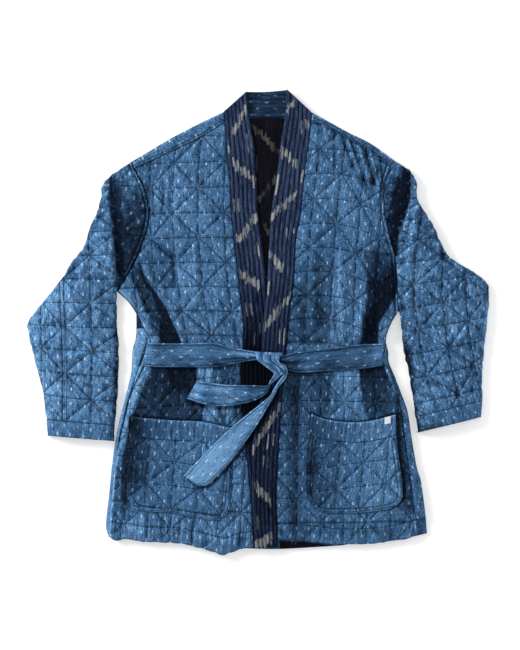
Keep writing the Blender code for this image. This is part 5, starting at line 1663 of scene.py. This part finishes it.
# floor, light, camera
stageLook = {
    "floor": (0.78, 0.78, 0.78), "dull": 0.985, "glow": 0.36, "glowColour": (1.0, 0.99, 0.975, 1),
    "half": 6.0, "low": -0.0006,   # size of the floor, and just under the cloth
    "dome": 0.66, "domeColour": (0.99, 0.995, 1.0, 1),
    # power, place, size
    "lights": {"keyLight": (105.0, (-2.6, 1.5, 1.8), (1.5, 1.1)),
               "sideLight": (10.0, (2.2, 0.9, 1.7), (1.5, 1.5))},
    # camera: straight above; rows of pixels in the picture, and mm of cloth to one
    "centre": (2.2 * mm, -4.7 * mm), "cloth": 12 * mm, "high": 4.0, "pixels": 650, "pixel": 1.65,
    "sensor": 36.0, "end": 30,
}
floorPaint = Paint("studio_floor")
where = floorPaint.node("ShaderNodeTexCoord", out="Object")
dull = tuple(c * stageLook["dull"] for c in stageLook["floor"])
tint = floorPaint.ramp(floorPaint.mottle(where, 2.0), [(0.0, dull), (1.0, stageLook["floor"])])
floorPaint.finish(tint, 0.9, floorPaint.mottle(where, 400.0), 0.00005)
floorPaint.surface.inputs["Emission Color"].default_value = stageLook["glowColour"]
floorPaint.surface.inputs["Emission Strength"].default_value = stageLook["glow"]
floorMesh = bpy.data.meshes.new("floor")
half = stageLook["half"]
corners = [(-half, -half, 0), (half, -half, 0), (half, half, 0), (-half, half, 0)]
floorMesh.from_pydata(corners, [], [(0, 1, 2, 3)])
floorMesh.materials.append(floorPaint.made)
floor = linked("floor", floorMesh)
floor.location = (0, 0, stageLook["low"])

world = bpy.data.worlds.new("studio")
bpy.context.scene.world = world
world.use_nodes = True
sky = world.node_tree.nodes["Background"]
sky.inputs["Color"].default_value = stageLook["domeColour"]
sky.inputs["Strength"].default_value = stageLook["dome"]

for name, (power, at, size) in stageLook["lights"].items():
    light = bpy.data.lights.new(name, "AREA")
    light.shape, light.energy = "RECTANGLE", power
    light.size, light.size_y = size
    holder = linked(name, light)
    holder.location = at
    holder.rotation_euler = (-Vector(at)).to_track_quat("-Z", "Y").to_euler()

camera = bpy.data.cameras.new("camera")
camera.sensor_width = stageLook["sensor"]
tall = stageLook["pixels"] * stageLook["pixel"] * mm
camera.lens = stageLook["sensor"] * stageLook["high"] / tall
camera.clip_end = stageLook["end"]
cameraHolder = linked("camera", camera)
cameraHolder.location = (*stageLook["centre"], stageLook["high"] + stageLook["cloth"])
bpy.context.scene.camera = cameraHolder
bpy.context.scene.view_settings.view_transform = "Standard"

for side, own in cut.items():
    lowest, lay = ["back_cloth"], [f"front_{side}_cloth"]
    cuts = (
        (f"front_{side}_cloth", cutOf(fronts[side][0]), lowest),
        (f"pocket_{side}_cloth", cutOf(pockets[side][0]), lay),
        (f"collar_{side}_cloth", stripCut(own["collar"]), lowest),
        (f"belt_{side}_cloth", stripCut(own["belt"]), lay),
        (f"sleeve_{side}_cloth", sleeveCuts[side], ["floor"]),
    )
    for name, (flat, area), rest in cuts:
        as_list(rest)
cuts = (
    ("back_cloth", cutOf(backLoop), "laid", ["floor"]),
    ("collar_back_cloth", cutOf(neckLoop), "laid", ["floor"]),
    ("lining_neck_cloth", cutOf(liningLoop), "laid", ["back_cloth"]),
    ("lining_hem_cloth", cutOf(hemLoop), "laid", ["back_cloth"]),
    ("belt_tail_upper_cloth", stripCut(tailUpper), "laid", ["front_right_cloth"]),
    ("belt_tail_lower_cloth", stripCut(tailLower), "laid", ["front_right_cloth"]),
    ("belt_knot_cloth", stripCut(*(look["rows"] for look in knotLook)), "folded", ["collar_left_cloth"]),
    ("pocket_label_tape", cutOf(np.array([(x, y) for x, y in zip(
        labelLook["x"] + labelLook["x"][::-1], np.repeat(labelLook["y"], 2))])), "laid",
     ["pocket_left_cloth"]),
)
for name, (flat, area), held, rest in cuts:
    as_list(rest)

print("finishing")
